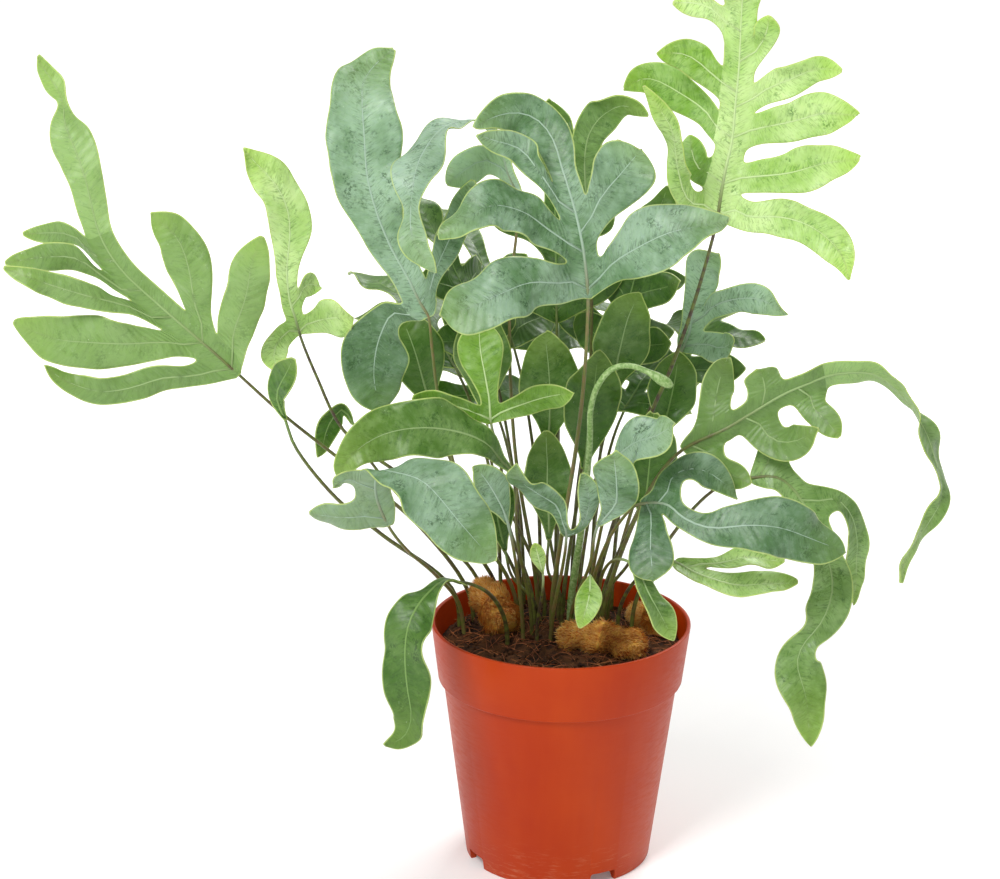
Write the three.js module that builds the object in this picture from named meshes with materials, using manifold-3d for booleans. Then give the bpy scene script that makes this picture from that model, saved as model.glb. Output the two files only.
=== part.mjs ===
// Potted blue star fern: a moulded plastic nursery pot filled with soil, creeping furry rhizomes
// lying half sunk in it, and lobed, wavy fronds on wiry stems that stand in holes in the soil.
// Millimetres, +Z up. The origin is the centre of the pot's underside, and -Y is the front.
import * as THREE from "three";
import { mergeVertices } from "three/addons/utils/BufferGeometryUtils.js";
import Module from "manifold-3d";

const wasm = await Module();
wasm.setup();

// Pot
const POT_HEIGHT = 114.8;
const POT_RIM_RADIUS = 60;
const POT_BASE_RADIUS = 43.2;
const POT_BAND_HEIGHT = 27.5;
const POT_BAND_FOOT_RADIUS = 56.6;
const POT_BODY_TOP_RADIUS = 54.4;
const POT_WALL = 1.8;
const POT_FLOOR_TOP = 5;
const POT_EDGE = 0.8;
const POT_LIP_EDGE = 0.5;
const POT_SIDES = 36;
const FOOT_DISC_RADIUS = 20;
const DRAIN_CHANNEL_HEIGHT = 3.2;
const SKIRT_WIDTH = 2.6;
const NOTCH_COUNT = 4;
const NOTCH_WIDTH = 13;
const NOTCH_HEIGHT = 5.5;
const NOTCH_TURN = THREE.MathUtils.degToRad(-62);
const DRAIN_HOLE_RADIUS = 4;
const DRAIN_HOLE_COUNT = 8;
const DRAIN_HOLE_SIDES = 10;

// Soil
const SOIL_TOP = 105;
const SOIL_SIDES = 22;
const SOIL_GAP = 0.5;
const RHIZOME_GAP = 0.4;
const SOIL_CRUMB_HEIGHT = 1;
const SOIL_RINGS = [46, 34, 21, 9];

// Leaves and stems
const LEAF_THICKNESS = 0.9;
const RIB_RELIEF = 0.5;
const STEM_RADIUS = 0.95;
const STEM_FOOT_GIRTH = 1.25;
const STEM_THINNING = 0.4;
const STEM_DEPTH = 11;
const STEM_HOLE_GAP = 0.9;
const STEM_HOLE_LENGTH = 24;
const STEM_STEP = 31;
const RACHIS_WING = 5;
const RACHIS_KEEL = 0.3;
const WAVE_LENGTH = 34;
const WAVE_LIMIT = 2.6;
const WAVE_SHARE = 0.11;
const WAVE_OFFSET = 2.2;
const SCALLOP_LENGTH = 27;
const SCALLOP_DEPTH = 0.05;
const BLADE_KEEL = 0.8;
const CURVE_SAMPLES = 160;
const LOBE_ROWS = [0.16, 0.37, 0.61, 0.85, 1];
const SHORT_LOBE_ROWS = [0.2, 0.5, 0.82, 1];
const SHORT_LOBE = 36;
const TIP_ROWS = [0.13, 0.29, 0.46, 0.63, 0.79, 0.92, 1];
const TIP_POINT_WIDTH = 1.4;
const BLADE_FADE = 2.3;
const PINCH_REACH = 0.09;
const NO_PINCH = [0, 0];

// Where a lobe's first row stands: just outside the wing, and never past this share of its length
const WING_CLEARANCE = 1.1;
const BASE_REACH = 0.45;
const LEAST_OUTWARD = 0.5;

const COLOURS = {
  pot: 0xb9471b,
  soil: 0x2e1a12,
  rhizome: 0xa8651c,
  blue: 0x86ab93,
  green: 0x5e8e3c,
  lime: 0x9cc044,
  dark: 0x46753a,
};

function point(x, y, z) {
  return new THREE.Vector3(x, y, z);
}

function smooth(low, high, value) {
  return THREE.MathUtils.smoothstep(value, low, high);
}

// Booleans

function toManifold(geometry) {
  const bare = geometry.clone();
  bare.deleteAttribute("normal");
  bare.deleteAttribute("uv");
  const merged = mergeVertices(bare, 1e-4);
  return new wasm.Manifold(new wasm.Mesh({
    numProp: 3,
    vertProperties: merged.attributes.position.array,
    triVerts: new Uint32Array(merged.index.array),
  }));
}

function fromManifold(solid) {
  const mesh = solid.getMesh();
  const geometry = new THREE.BufferGeometry();
  geometry.setAttribute("position", new THREE.BufferAttribute(new Float32Array(mesh.vertProperties), 3));
  geometry.setIndex(new THREE.BufferAttribute(new Uint32Array(mesh.triVerts), 1));
  return geometry;
}

function latheUp(profile, sides) {
  const points = profile.map(([radius, height]) => new THREE.Vector2(radius, height));
  return new THREE.LatheGeometry(points, sides).rotateX(Math.PI / 2);
}

// A closed skin put together ring by ring

class Skin {
  constructor() {
    this.places = [];
    this.faces = [];
  }

  add(vector) {
    this.places.push(vector.x, vector.y, vector.z);
    return this.places.length / 3 - 1;
  }

  ring(vectors) {
    return vectors.map((vector) => this.add(vector));
  }

  // Joins ring a to ring b. Sides in `open` stay open, and sides in `turned` are split the other way.
  join(a, b, open = [], turned = []) {
    for (let side = 0; side < a.length; side += 1) {
      const next = (side + 1) % a.length;
      if (open.includes(side)) {
        continue;
      }
      if (turned.includes(side)) {
        this.faces.push(a[side], a[next], b[side], a[next], b[next], b[side]);
      } else {
        this.faces.push(a[side], a[next], b[next], a[side], b[next], b[side]);
      }
    }
  }

  fan(ring, flip) {
    for (let side = 1; side < ring.length - 1; side += 1) {
      const [p, q] = flip ? [ring[side + 1], ring[side]] : [ring[side], ring[side + 1]];
      this.faces.push(ring[0], p, q);
    }
  }

  geometry() {
    const geometry = new THREE.BufferGeometry();
    geometry.setAttribute("position", new THREE.Float32BufferAttribute(this.places, 3));
    geometry.setIndex(this.faces);
    return geometry;
  }
}

// Pot

function makePot() {
  const wallTop = POT_HEIGHT - POT_BAND_HEIGHT;
  const skirtInner = POT_BASE_RADIUS - SKIRT_WIDTH;
  const shell = toManifold(latheUp([
    [0, 0],
    [FOOT_DISC_RADIUS, 0],
    [FOOT_DISC_RADIUS + 1.5, DRAIN_CHANNEL_HEIGHT],
    [skirtInner - 1, DRAIN_CHANNEL_HEIGHT],
    [skirtInner, 0],
    [POT_BASE_RADIUS - POT_EDGE, 0],
    [POT_BASE_RADIUS, POT_EDGE],
    [POT_BODY_TOP_RADIUS, wallTop - POT_EDGE],
    [POT_BAND_FOOT_RADIUS - POT_LIP_EDGE, wallTop],
    [POT_BAND_FOOT_RADIUS, wallTop + POT_EDGE],
    [POT_RIM_RADIUS, POT_HEIGHT - POT_EDGE],
    [POT_RIM_RADIUS - POT_LIP_EDGE, POT_HEIGHT],
    [POT_RIM_RADIUS - POT_WALL, POT_HEIGHT],
    [POT_BAND_FOOT_RADIUS - POT_WALL, wallTop + 2],
    [POT_BODY_TOP_RADIUS - POT_WALL, wallTop - 1],
    [POT_BASE_RADIUS - POT_WALL + 0.9, POT_FLOOR_TOP],
    [0, POT_FLOOR_TOP],
  ], POT_SIDES));
  let pot = shell;
  for (let index = 0; index < NOTCH_COUNT; index += 1) {
    const turn = NOTCH_TURN + (index * 2 * Math.PI) / NOTCH_COUNT;
    const notch = new THREE.BoxGeometry(8, NOTCH_WIDTH, 2 * NOTCH_HEIGHT);
    notch.translate(POT_BASE_RADIUS + 0.4, 0, 0).rotateZ(turn);
    pot = pot.subtract(toManifold(notch));
  }
  const channelMiddle = (FOOT_DISC_RADIUS + skirtInner) / 2;
  for (let index = 0; index < DRAIN_HOLE_COUNT; index += 1) {
    const turn = NOTCH_TURN + ((index + 0.5) * 2 * Math.PI) / DRAIN_HOLE_COUNT;
    const hole = new THREE.CylinderGeometry(
      DRAIN_HOLE_RADIUS, DRAIN_HOLE_RADIUS, 3 * POT_FLOOR_TOP, DRAIN_HOLE_SIDES,
    );
    hole.rotateX(Math.PI / 2).translate(channelMiddle, 0, 0).rotateZ(turn);
    pot = pot.subtract(toManifold(hole));
  }
  return fromManifold(pot);
}

// Soil, with plain holes for the stems and hollows for the rhizomes

function soilHeight(x, y) {
  const edge = 1 - smooth(40, 56, Math.hypot(x, y));
  const mound = 2.5 * Math.exp(-((x + 6) ** 2 + (y - 18) ** 2) / 900);
  const crumbs = Math.sin(x / 5.1 + 0.8) * Math.cos(y / 4.3) + 0.6 * Math.sin((x + 2 * y) / 6.7);
  return SOIL_TOP - 2 + mound + edge * (1 + SOIL_CRUMB_HEIGHT * crumbs);
}

function makeSoil(holes) {
  const wallTop = POT_HEIGHT - POT_BAND_HEIGHT;
  const topRadius = POT_BAND_FOOT_RADIUS - POT_WALL - SOIL_GAP;
  const neckRadius = POT_BODY_TOP_RADIUS - POT_WALL - SOIL_GAP;
  const skin = new Skin();
  const around = (radius, heightAt) => {
    const vectors = [];
    for (let side = 0; side < SOIL_SIDES; side += 1) {
      const turn = (side * 2 * Math.PI) / SOIL_SIDES;
      const x = radius * Math.cos(turn);
      const y = radius * Math.sin(turn);
      vectors.push(point(x, y, heightAt(x, y)));
    }
    return skin.ring(vectors);
  };
  const bottom = around(POT_BASE_RADIUS - POT_WALL, () => POT_FLOOR_TOP + SOIL_GAP);
  const rings = [
    bottom,
    around(neckRadius, () => wallTop - 1),
    around(topRadius, () => wallTop + 3),
    around(topRadius + 1.4, soilHeight),
    ...SOIL_RINGS.map((radius) => around(radius, soilHeight)),
  ];
  for (let index = 1; index < rings.length; index += 1) {
    skin.join(rings[index - 1], rings[index]);
  }
  skin.fan(bottom, true);
  skin.fan(rings.at(-1), false);
  return fromManifold(holes.reduce((soil, hole) => soil.subtract(hole), toManifold(skin.geometry())));
}

// Rhizomes: knobbly creeping stems, rounded at both ends, with low bumps
const RHIZOME_ROWS = [0.02, 0.08, 0.18, 0.29, 0.4, 0.5, 0.61, 0.72, 0.82, 0.92, 0.98];

const RHIZOMES = [
  {
    name: "rhizome_left",
    radius: 8.6,
    sides: 12,
    path: [[-24, 3, 108], [-28, 9, 112], [-31, 16, 116], [-35, 22, 119], [-38, 27, 122]],
    taper: 0.72,
    knob: 0.1,
  },
  {
    name: "rhizome_right",
    radius: 5.9,
    sides: 12,
    path: [[-1, -4, 107], [8, -7, 109], [18, -11, 110], [28, -16, 110], [37, -21, 107]],
    taper: 1.18,
    knob: 0.14,
  },
  {
    name: "rhizome_back",
    radius: 5.6,
    sides: 10,
    path: [[47, 6, 106], [45, 14, 109], [41, 22, 109], [35, 29, 106]],
    taper: 0.9,
    knob: 0.12,
  },
];

function makeRhizome({ radius, sides, path, taper, knob }, extra = 0) {
  const curve = new THREE.CatmullRomCurve3(path.map((place) => point(...place)));
  const skin = new Skin();
  const up = point(0, 0, 1);
  const rings = RHIZOME_ROWS.map((row, index) => {
    const centre = curve.getPointAt(row);
    const along = curve.getTangentAt(row);
    const across = new THREE.Vector3().crossVectors(up, along).normalize();
    const lift = new THREE.Vector3().crossVectors(along, across);
    const round = Math.sqrt(1 - Math.abs(2 * row - 1) ** 6);
    const girth = radius * round * THREE.MathUtils.lerp(1, taper, row);
    const vectors = [];
    for (let side = 0; side < sides; side += 1) {
      const turn = (side * 2 * Math.PI) / sides;
      const bump = 1 + knob * round * (Math.sin(3 * turn + 2.1 * index) + Math.cos(2 * turn - 1.7 * index));
      const reach = girth * bump + extra;
      vectors.push(centre.clone()
        .addScaledVector(across, reach * Math.cos(turn))
        .addScaledVector(lift, reach * Math.sin(turn)));
    }
    return skin.ring(vectors);
  });
  for (let index = 1; index < rings.length; index += 1) {
    skin.join(rings[index - 1], rings[index]);
  }
  skin.fan(rings[0], true);
  skin.fan(rings.at(-1), false);
  return skin.geometry();
}

// Curves: evenly spaced places and directions along part of a smooth curve

function alongCurve(curve, from, to, fractions) {
  const count = CURVE_SAMPLES;
  const places = [];
  const lengths = [0];
  for (let index = 0; index <= count; index += 1) {
    places.push(curve.getPoint(from + ((to - from) * index) / count));
    if (index > 0) {
      lengths.push(lengths[index - 1] + places[index].distanceTo(places[index - 1]));
    }
  }
  const total = lengths[count];
  return fractions.map((fraction) => {
    const wanted = fraction * total;
    let index = 1;
    while (index < count && lengths[index] < wanted) {
      index += 1;
    }
    const share = (wanted - lengths[index - 1]) / (lengths[index] - lengths[index - 1]);
    const place = places[index - 1].clone().lerp(places[index], share);
    const direction = places[Math.min(index + 1, count)].clone().sub(places[Math.max(index - 2, 0)]);
    return { place, direction: direction.normalize(), length: wanted, total };
  });
}

// Blades: an upper-face direction is carried along the curve, and edges wave up and down across it

function carryFace(face, direction) {
  return face.clone().addScaledVector(direction, -face.dot(direction)).normalize();
}

// A blade's width along its length: it grows from its neck, and rounds off to its tip. A larger
// fade keeps it broad for longer, and a pinch is where it is rolled narrow, and by how much.
function swell(fraction, neck, fade, [pinchAt, pinchDepth]) {
  const grow = neck + (1 - neck) * smooth(0, 0.55, fraction);
  const rounding = Math.max(0, (fraction - 0.5) / 0.5) ** fade;
  const pinch = 1 - pinchDepth * Math.exp(-(((fraction - pinchAt) / PINCH_REACH) ** 2));
  return grow * pinch * (1 - rounding) ** 0.72;
}

// An edge's rise and fall, which starts flat at the base and calms down towards the tip
function edgeWave(fraction, length, height, phase) {
  const rise = smooth(0.02, 0.4, fraction) * (1 - 0.55 * smooth(0.8, 1, fraction));
  return height * rise * Math.sin((2 * Math.PI * length) / WAVE_LENGTH + phase);
}

function leftOf(face, direction) {
  return new THREE.Vector3().crossVectors(face, direction).normalize();
}

function bladeRing(skin, place, left, face, halfLeft, halfRight, waveLeft, waveRight, keel, rib) {
  const half = LEAF_THICKNESS / 2;
  const at = (across, lift) => place.clone().addScaledVector(left, across).addScaledVector(face, lift);
  return skin.ring([
    at(halfLeft, waveLeft + half),
    at(0, half - keel),
    at(-halfRight, waveRight + half),
    at(-halfRight, waveRight - half),
    at(0, -half - keel - rib),
    at(halfLeft, waveLeft - half),
  ]);
}

const BLADE_TURNED = [3, 4];

function closeTip(skin, ring) {
  const [topLeft, top, topRight, lowRight, low, lowLeft] = ring;
  skin.faces.push(topLeft, top, low, topLeft, low, lowLeft);
  skin.faces.push(top, topRight, lowRight, top, lowRight, low);
}

// The angle about `direction` from one face to another, as near as can be to the angle before it
function faceAngle(face, wanted, direction, before) {
  const target = carryFace(wanted, direction);
  const angle = Math.atan2(new THREE.Vector3().crossVectors(face, target).dot(direction), face.dot(target));
  return angle + 2 * Math.PI * Math.round((before - angle) / (2 * Math.PI));
}

// Grows one blade from a first ring: `base` has its six places and `start` its face direction.
// `slant` is the direction of the base's left end, which the first rows still lean to. The blade
// turns about its own length until its upper face looks along `aim`.
function growBlade(skin, base, stations, start, options) {
  const { width, neck, phase, aim, slant, rows } = options;
  const { wave = Math.min(WAVE_LIMIT, WAVE_SHARE * width), keel = BLADE_KEEL } = options;
  const { fade = BLADE_FADE, pinch = NO_PINCH } = options;
  let face = start;
  let before = base;
  let angle = 0;
  stations.forEach((station, index) => {
    const fraction = rows[index];
    face = carryFace(face, station.direction);
    if (aim) {
      angle = faceAngle(face, point(...aim), station.direction, angle);
    }
    const turned = face.clone().applyAxisAngle(station.direction, angle * smooth(0, 0.5, fraction));
    const left = leftOf(turned, station.direction);
    if (slant) {
      left.lerp(slant, 1 - smooth(0, 0.5, fraction)).normalize();
    }
    const scallop = 1 + SCALLOP_DEPTH * Math.sin((2 * Math.PI * station.length) / SCALLOP_LENGTH + phase);
    const half = Math.max(TIP_POINT_WIDTH, width * swell(fraction, neck, fade, pinch) * scallop) / 2;
    const ring = bladeRing(
      skin, station.place, left, turned, half, half,
      edgeWave(fraction, station.length, wave, phase),
      edgeWave(fraction, station.length, wave, phase + WAVE_OFFSET),
      keel * smooth(0, 0.3, fraction) * (1 - smooth(0.75, 1, fraction)),
      RIB_RELIEF * (1 - fraction),
    );
    skin.join(before, ring, [], BLADE_TURNED);
    before = ring;
  });
  closeTip(skin, before);
}

function stemRing(skin, station, face, radius) {
  const left = leftOf(face, station.direction);
  const vectors = [150, 90, 30, -30, -90, -150].map((degrees) => {
    const turn = THREE.MathUtils.degToRad(degrees);
    return station.place.clone()
      .addScaledVector(left, -radius * Math.cos(turn))
      .addScaledVector(face, radius * Math.sin(turn));
  });
  return skin.ring(vectors);
}

function even(count) {
  return Array.from({ length: count + 1 }, (unused, index) => index / count);
}

// The stem runs from the foot to the blade, and its face direction is carried back from the blade.
function stemStations(curve, to, face, step) {
  const length = alongCurve(curve, 0, to, [1])[0].total;
  const stations = alongCurve(curve, 0, to, even(Math.max(4, Math.round(length / step))));
  const faces = [];
  let carried = face;
  for (let index = stations.length - 1; index >= 0; index -= 1) {
    carried = carryFace(carried, stations[index].direction);
    faces[index] = carried;
  }
  return { stations, faces };
}

function makeFrond(frond, order) {
  const { stem, spine = [], tip, face, steps = 0, lobes = [] } = frond;
  const { radius = STEM_RADIUS, wing = RACHIS_WING } = frond;
  const skin = new Skin();
  const knots = [...stem, ...spine, ...tip].map((place) => point(...place));
  const curve = new THREE.CatmullRomCurve3(knots);
  const stemEnd = (stem.length - 1) / (knots.length - 1);
  const spineEnd = (stem.length + spine.length - 1) / (knots.length - 1);
  const { stations: below, faces } = stemStations(curve, stemEnd, point(...face), STEM_STEP);
  let before;
  below.forEach((station, index) => {
    const last = index === below.length - 1;
    if (last && steps > 0) {
      return;
    }
    const thick = radius * (STEM_FOOT_GIRTH - STEM_THINNING * (index / below.length));
    const ring = stemRing(skin, station, faces[index], thick);
    if (before) {
      skin.join(before, ring);
    } else {
      skin.fan(ring, true);
    }
    before = ring;
  });

  // The rachis, a narrow wing on each side, with gaps in its walls where the lobes stand
  let carried = faces.at(-1);
  if (steps > 0) {
    const stations = alongCurve(curve, stemEnd, spineEnd, even(steps));
    const faceAt = [];
    const rings = stations.map((station, index) => {
      carried = carryFace(carried, station.direction);
      const half = index === 0 ? 0.4 * wing : wing;
      faceAt[index] = carried;
      return bladeRing(skin, station.place, leftOf(carried, station.direction), carried,
        half, half, 0, 0, RACHIS_KEEL, RIB_RELIEF);
    });
    const open = stations.map(() => []);
    lobes.forEach((lobe, index) => {
      const middle = stations[lobe.at + 1];
      const path = [middle.place, ...lobe.path.map((place) => point(...place))];
      const left = leftOf(faceAt[lobe.at + 1], middle.direction);
      const onLeft = path[1].clone().sub(middle.place).dot(left) > 0;
      const picked = onLeft ? [lobe.at, lobe.at + 1, lobe.at + 2] : [lobe.at + 2, lobe.at + 1, lobe.at];
      const [top, low] = onLeft ? [0, 5] : [2, 3];
      open[lobe.at].push(onLeft ? 5 : 2);
      open[lobe.at + 1].push(onLeft ? 5 : 2);
      const base = [
        ...picked.map((ring) => rings[ring][top]),
        ...picked.toReversed().map((ring) => rings[ring][low]),
      ];
      const track = new THREE.CatmullRomCurve3(path);
      const reach = track.getLength();
      const baseWidth = stations[lobe.at].place.distanceTo(stations[lobe.at + 2].place);
      const outward = Math.max(LEAST_OUTWARD, Math.abs(track.getTangent(0).dot(left)));
      const from = Math.min(BASE_REACH, (WING_CLEARANCE * wing) / (reach * outward));
      const rows = reach < SHORT_LOBE ? SHORT_LOBE_ROWS : LOBE_ROWS;
      const fractions = rows.map((row) => from + (1 - from) * row);
      growBlade(skin, base, alongCurve(track, 0, 1, fractions), faceAt[lobe.at + 1], {
        neck: Math.min(0.95, baseWidth / lobe.width),
        phase: 1.9 * order + 2.4 * index,
        slant: middle.direction.clone().multiplyScalar(onLeft ? -1 : 1),
        rows,
        ...lobe,
      });
    });
    skin.join(before, rings[0], [], BLADE_TURNED);
    for (let index = 1; index < rings.length; index += 1) {
      skin.join(rings[index - 1], rings[index], open[index - 1], BLADE_TURNED);
    }
    before = rings.at(-1);
  }
  const ends = alongCurve(curve, steps > 0 ? spineEnd : stemEnd, 1, TIP_ROWS);
  growBlade(skin, before, ends, carried, {
    neck: steps > 0 ? Math.min(0.9, (2 * wing) / frond.width) : 0.12,
    phase: 1.9 * order + 5.1,
    rows: TIP_ROWS,
    width: frond.width,
    wave: frond.wave,
    aim: frond.aim,
    keel: frond.keel,
    fade: frond.fade,
    pinch: frond.pinch,
  });
  return skin.geometry();
}

// The hole that a stem stands in, a little wider than the stem
function makeStemHole({ stem, radius = STEM_RADIUS }) {
  const [foot, above] = stem.map((place) => point(...place));
  const direction = above.clone().sub(foot).normalize();
  const face = carryFace(point(1, 0.2, 0), direction);
  const skin = new Skin();
  const reach = STEM_FOOT_GIRTH * radius + STEM_HOLE_GAP;
  const [low, high] = [-1, STEM_HOLE_LENGTH].map((along) => {
    const place = foot.clone().addScaledVector(direction, along);
    return stemRing(skin, { place, direction }, face, reach);
  });
  skin.join(low, high);
  skin.fan(low, true);
  skin.fan(high, false);
  return toManifold(skin.geometry());
}

function lobe(at, width, path, more = {}) {
  return { at, width, path, ...more };
}

// Fronds: every place is in millimetres. The stem's first place is its foot in the soil, the spine
// is the stretch that carries lobes, in even steps, and the tip is the end lobe. A lobe's `at` is
// the step that it starts from.
const FOOT = SOIL_TOP - STEM_DEPTH;

const FRONDS = [
  {
    name: "frond_far_left",
    colour: "green",
    face: [-0.3, 0.93, 0.1],
    stem: [[-40, 27, FOOT], [-43, 26, 118], [-64, 17, 152], [-92, 8, 181], [-127, 0, 213],
      [-146, -8, 234]],
    steps: 10,
    spine: [[-159, -10, 247], [-178, -10, 264], [-197, -8, 282], [-206, -5, 296]],
    tip: [[-209, -3, 306], [-212, 0, 320], [-217, 4, 333], [-222, 8, 345], [-222, 10, 354],
      [-228, 12, 363], [-234, 13, 372]],
    width: 19,
    wing: 6,
    pinch: [0.72, 0.75],
    fade: 1.7,
    lobes: [
      lobe(0, 13, [[-163, -13, 235], [-178, -17, 235], [-193, -21, 231], [-206, -23, 230],
        [-221, -24, 235], [-230, -24, 242]]),
      lobe(0, 19, [[-147, -13, 256], [-141, -17, 273], [-138, -19, 288], [-133, -20, 300]]),
      lobe(2, 24, [[-177, -15, 251], [-192, -19, 251], [-207, -22, 252], [-225, -23, 254],
        [-243, -22, 261]]),
      lobe(2, 20, [[-165, -10, 269], [-167, -8, 283], [-172, -6, 296], [-184, -4, 306]]),
      lobe(4, 12, [[-192, -15, 267], [-205, -22, 272], [-221, -27, 278], [-245, -29, 287]]),
      lobe(6, 12, [[-206, -11, 281], [-216, -12, 288], [-230, -12, 288], [-248, -7, 284]]),
      lobe(8, 10, [[-215, -2, 295], [-228, 5, 295], [-243, 10, 293]]),
    ],
  },
  {
    name: "frond_left_bright",
    colour: "lime",
    face: [0.2, -0.85, 0.5],
    stem: [[-26, 38, FOOT], [-31, 37, 120], [-66, 28, 168], [-100, 18, 199], [-113, 16, 227],
      [-120, 15, 246]],
    steps: 5,
    spine: [[-122, 15, 254], [-125, 16, 265]],
    tip: [[-126, 17, 276], [-124, 19, 290], [-125, 22, 302], [-130, 24, 313], [-138, 24, 322],
      [-145, 22, 330]],
    width: 21,
    wing: 4,
    lobes: [
      lobe(0, 20, [[-113, 11, 253], [-105, 5, 257], [-95, 0, 258]], { fade: 5 }),
      lobe(0, 13, [[-127, 8, 248], [-131, 2, 242], [-128, -4, 234]]),
      lobe(3, 12, [[-120, 19, 267], [-115, 23, 268], [-110, 26, 266]]),
    ],
  },
  {
    name: "leaf_left_folded",
    colour: "dark",
    face: [0.5, -0.7, 0.2],
    stem: [[-47, 19, FOOT], [-50, 17, 122], [-83, 3, 155], [-103, -5, 175], [-121, -10, 201],
      [-125, -12, 214]],
    tip: [[-129, -14, 226], [-125, -19, 236], [-120, -22, 246]],
    width: 15,
    aim: [-0.5, -0.8, 0.2],
    radius: 1,
  },
  {
    name: "frond_tall_left",
    colour: "blue",
    face: [0.1, -0.97, 0.15],
    stem: [[-19, 25, FOOT], [-22, 24, 120], [-42, 16, 160], [-56, 4, 215], [-60, -5, 250],
      [-61, -8, 261]],
    steps: 4,
    spine: [[-65, -8, 268], [-70, -9, 279]],
    tip: [[-78, -10, 294], [-84, -11, 310], [-88, -10, 326], [-89, -8, 341], [-90, -5, 354],
      [-90, 0, 364], [-85, 8, 371], [-77, 13, 377]],
    width: 33,
    wing: 7,
    lobes: [
      lobe(0, 31, [[-75, -2, 264], [-81, 1, 255], [-85, 3, 243], [-86, 4, 228], [-83, 5, 213]],
        { wave: 2.4, aim: [0, -0.9, 0.3] }),
      lobe(1, 14, [[-54, 0, 290], [-47, 8, 305], [-42, 12, 319]]),
    ],
  },
  {
    name: "frond_curled_strap",
    colour: "blue",
    face: [0.6, 0.5, 0.3],
    stem: [[-10, 29, FOOT], [-11, 28, 120], [-22, 29, 189], [-25, 31, 260], [-22, 32, 300]],
    steps: 6,
    spine: [[-27, 30, 324], [-33, 25, 339]],
    tip: [[-43, 17, 346], [-53, 8, 345], [-61, -6, 340], [-66, -19, 332], [-68, -28, 321],
      [-69, -32, 310], [-67, -34, 301], [-62, -35, 294], [-57, -34, 288]],
    width: 22,
    wing: 4,
    pinch: [0.74, 0.5],
    lobes: [
      lobe(2, 16, [[-35, 33, 325], [-44, 34, 320], [-54, 30, 313]], { aim: [0.1, 0.9, -0.3] }),
    ],
  },
  {
    name: "leaf_arch_left",
    colour: "green",
    face: [0.85, -0.5, 0],
    stem: [[-13, 6, FOOT], [-14, 4, 118], [-21, -8, 160], [-22, -15, 190]],
    tip: [[-28, -21, 198], [-35, -28, 209], [-49, -35, 217], [-65, -41, 220], [-80, -45, 218],
      [-92, -48, 211], [-100, -50, 200]],
    width: 26,
    wave: 2.8,
    radius: 0.9,
  },
  {
    name: "leaf_left_behind",
    colour: "dark",
    face: [0.5, -0.6, 0.5],
    stem: [[-35, 34, FOOT], [-39, 34, 122], [-70, 34, 156], [-92, 35, 184], [-97, 34, 198]],
    tip: [[-101, 31, 207], [-107, 27, 201], [-112, 23, 185]],
    width: 12,
    radius: 0.9,
  },
  {
    name: "frond_front_left",
    colour: "blue",
    face: [-0.25, 0.9, 0.3],
    aim: [-0.3, -0.75, 0.6],
    stem: [[-44, 8, FOOT], [-47, 4, 120], [-58, -14, 142], [-70, -32, 160], [-78, -44, 176]],
    steps: 4,
    spine: [[-83, -54, 194], [-81, -67, 208]],
    tip: [[-73, -80, 213], [-62, -88, 212], [-54, -92, 205], [-46, -93, 195], [-38, -92, 185],
      [-31, -90, 176]],
    width: 31,
    wing: 7,
    keel: 1.6,
    wave: 3,
    lobes: [
      lobe(0, 15, [[-85, -50, 186], [-94, -50, 182], [-112, -48, 183]]),
      lobe(2, 11, [[-95, -68, 205], [-100, -70, 201]]),
    ],
  },
  {
    name: "frond_three_lobed",
    colour: "lime",
    face: [0, -0.9, 0.4],
    stem: [[-12, 17, FOOT], [-13, 15, 120], [-25, 8, 160], [-29, -4, 195], [-33, -14, 214]],
    steps: 3,
    wing: 4,
    spine: [[-34, -15, 227]],
    tip: [[-36, -12, 237], [-38, -8, 246], [-39, -2, 260]],
    width: 21,
    lobes: [
      lobe(0, 12, [[-44, -18, 222], [-54, -22, 225], [-68, -27, 230]]),
      lobe(0, 14, [[-22, -19, 223], [-12, -24, 228], [4, -30, 234]]),
    ],
  },
  {
    name: "frond_centre",
    colour: "blue",
    face: [0, -0.95, 0.3],
    stem: [[-4, 13, FOOT], [-4, 12, 118], [-1, 2, 150], [5, -12, 200], [8, -20, 236], [9, -25, 275]],
    steps: 6,
    spine: [[8, -28, 286], [6, -29, 300], [3, -28, 313], [-1, -26, 326]],
    tip: [[-4, -21, 334], [-7, -14, 343], [-14, -10, 351], [-23, -11, 354], [-34, -15, 352],
      [-41, -19, 348]],
    width: 19,
    wing: 6,
    radius: 1.1,
    wave: 2,
    lobes: [
      lobe(0, 27, [[-4, -35, 284], [-17, -45, 287], [-29, -53, 284], [-42, -58, 279], [-54, -60, 275]],
        { aim: [-0.1, -0.8, 0.6], wave: 3.4, fade: 5 }),
      lobe(0, 30, [[19, -34, 293], [30, -41, 302], [43, -46, 310], [55, -48, 313], [68, -46, 315]],
        { aim: [0.1, -0.8, 0.6], wave: 3, fade: 1.3 }),
      lobe(2, 22, [[-6, -31, 305], [-20, -40, 317], [-33, -46, 321], [-44, -50, 316], [-56, -50, 308]],
        { aim: [-0.1, -0.75, 0.65], wave: 3.4 }),
      lobe(3, 28, [[13, -27, 320], [22, -25, 330], [31, -23, 341]], { wave: 3, fade: 5 }),
      lobe(4, 13, [[-8, -30, 327], [-15, -29, 334], [-21, -25, 341], [-31, -26, 344], [-40, -29, 348]],
        { wave: 1.6 }),
    ],
  },
  {
    name: "frond_upper_right",
    colour: "lime",
    face: [0.1, -0.9, 0.4],
    stem: [[14, 23, FOOT], [16, 22, 120], [28, 17, 170], [40, 16, 210], [48, 18, 229], [59, 22, 262],
      [68, 25, 298]],
    steps: 14,
    spine: [[69, 26, 305], [71, 28, 319], [74, 30, 334], [75, 30, 350], [76, 29, 368], [76, 27, 384],
      [76, 25, 394]],
    tip: [[76, 22, 403], [75, 15, 413], [75, 6, 424]],
    width: 26,
    wing: 7,
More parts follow.
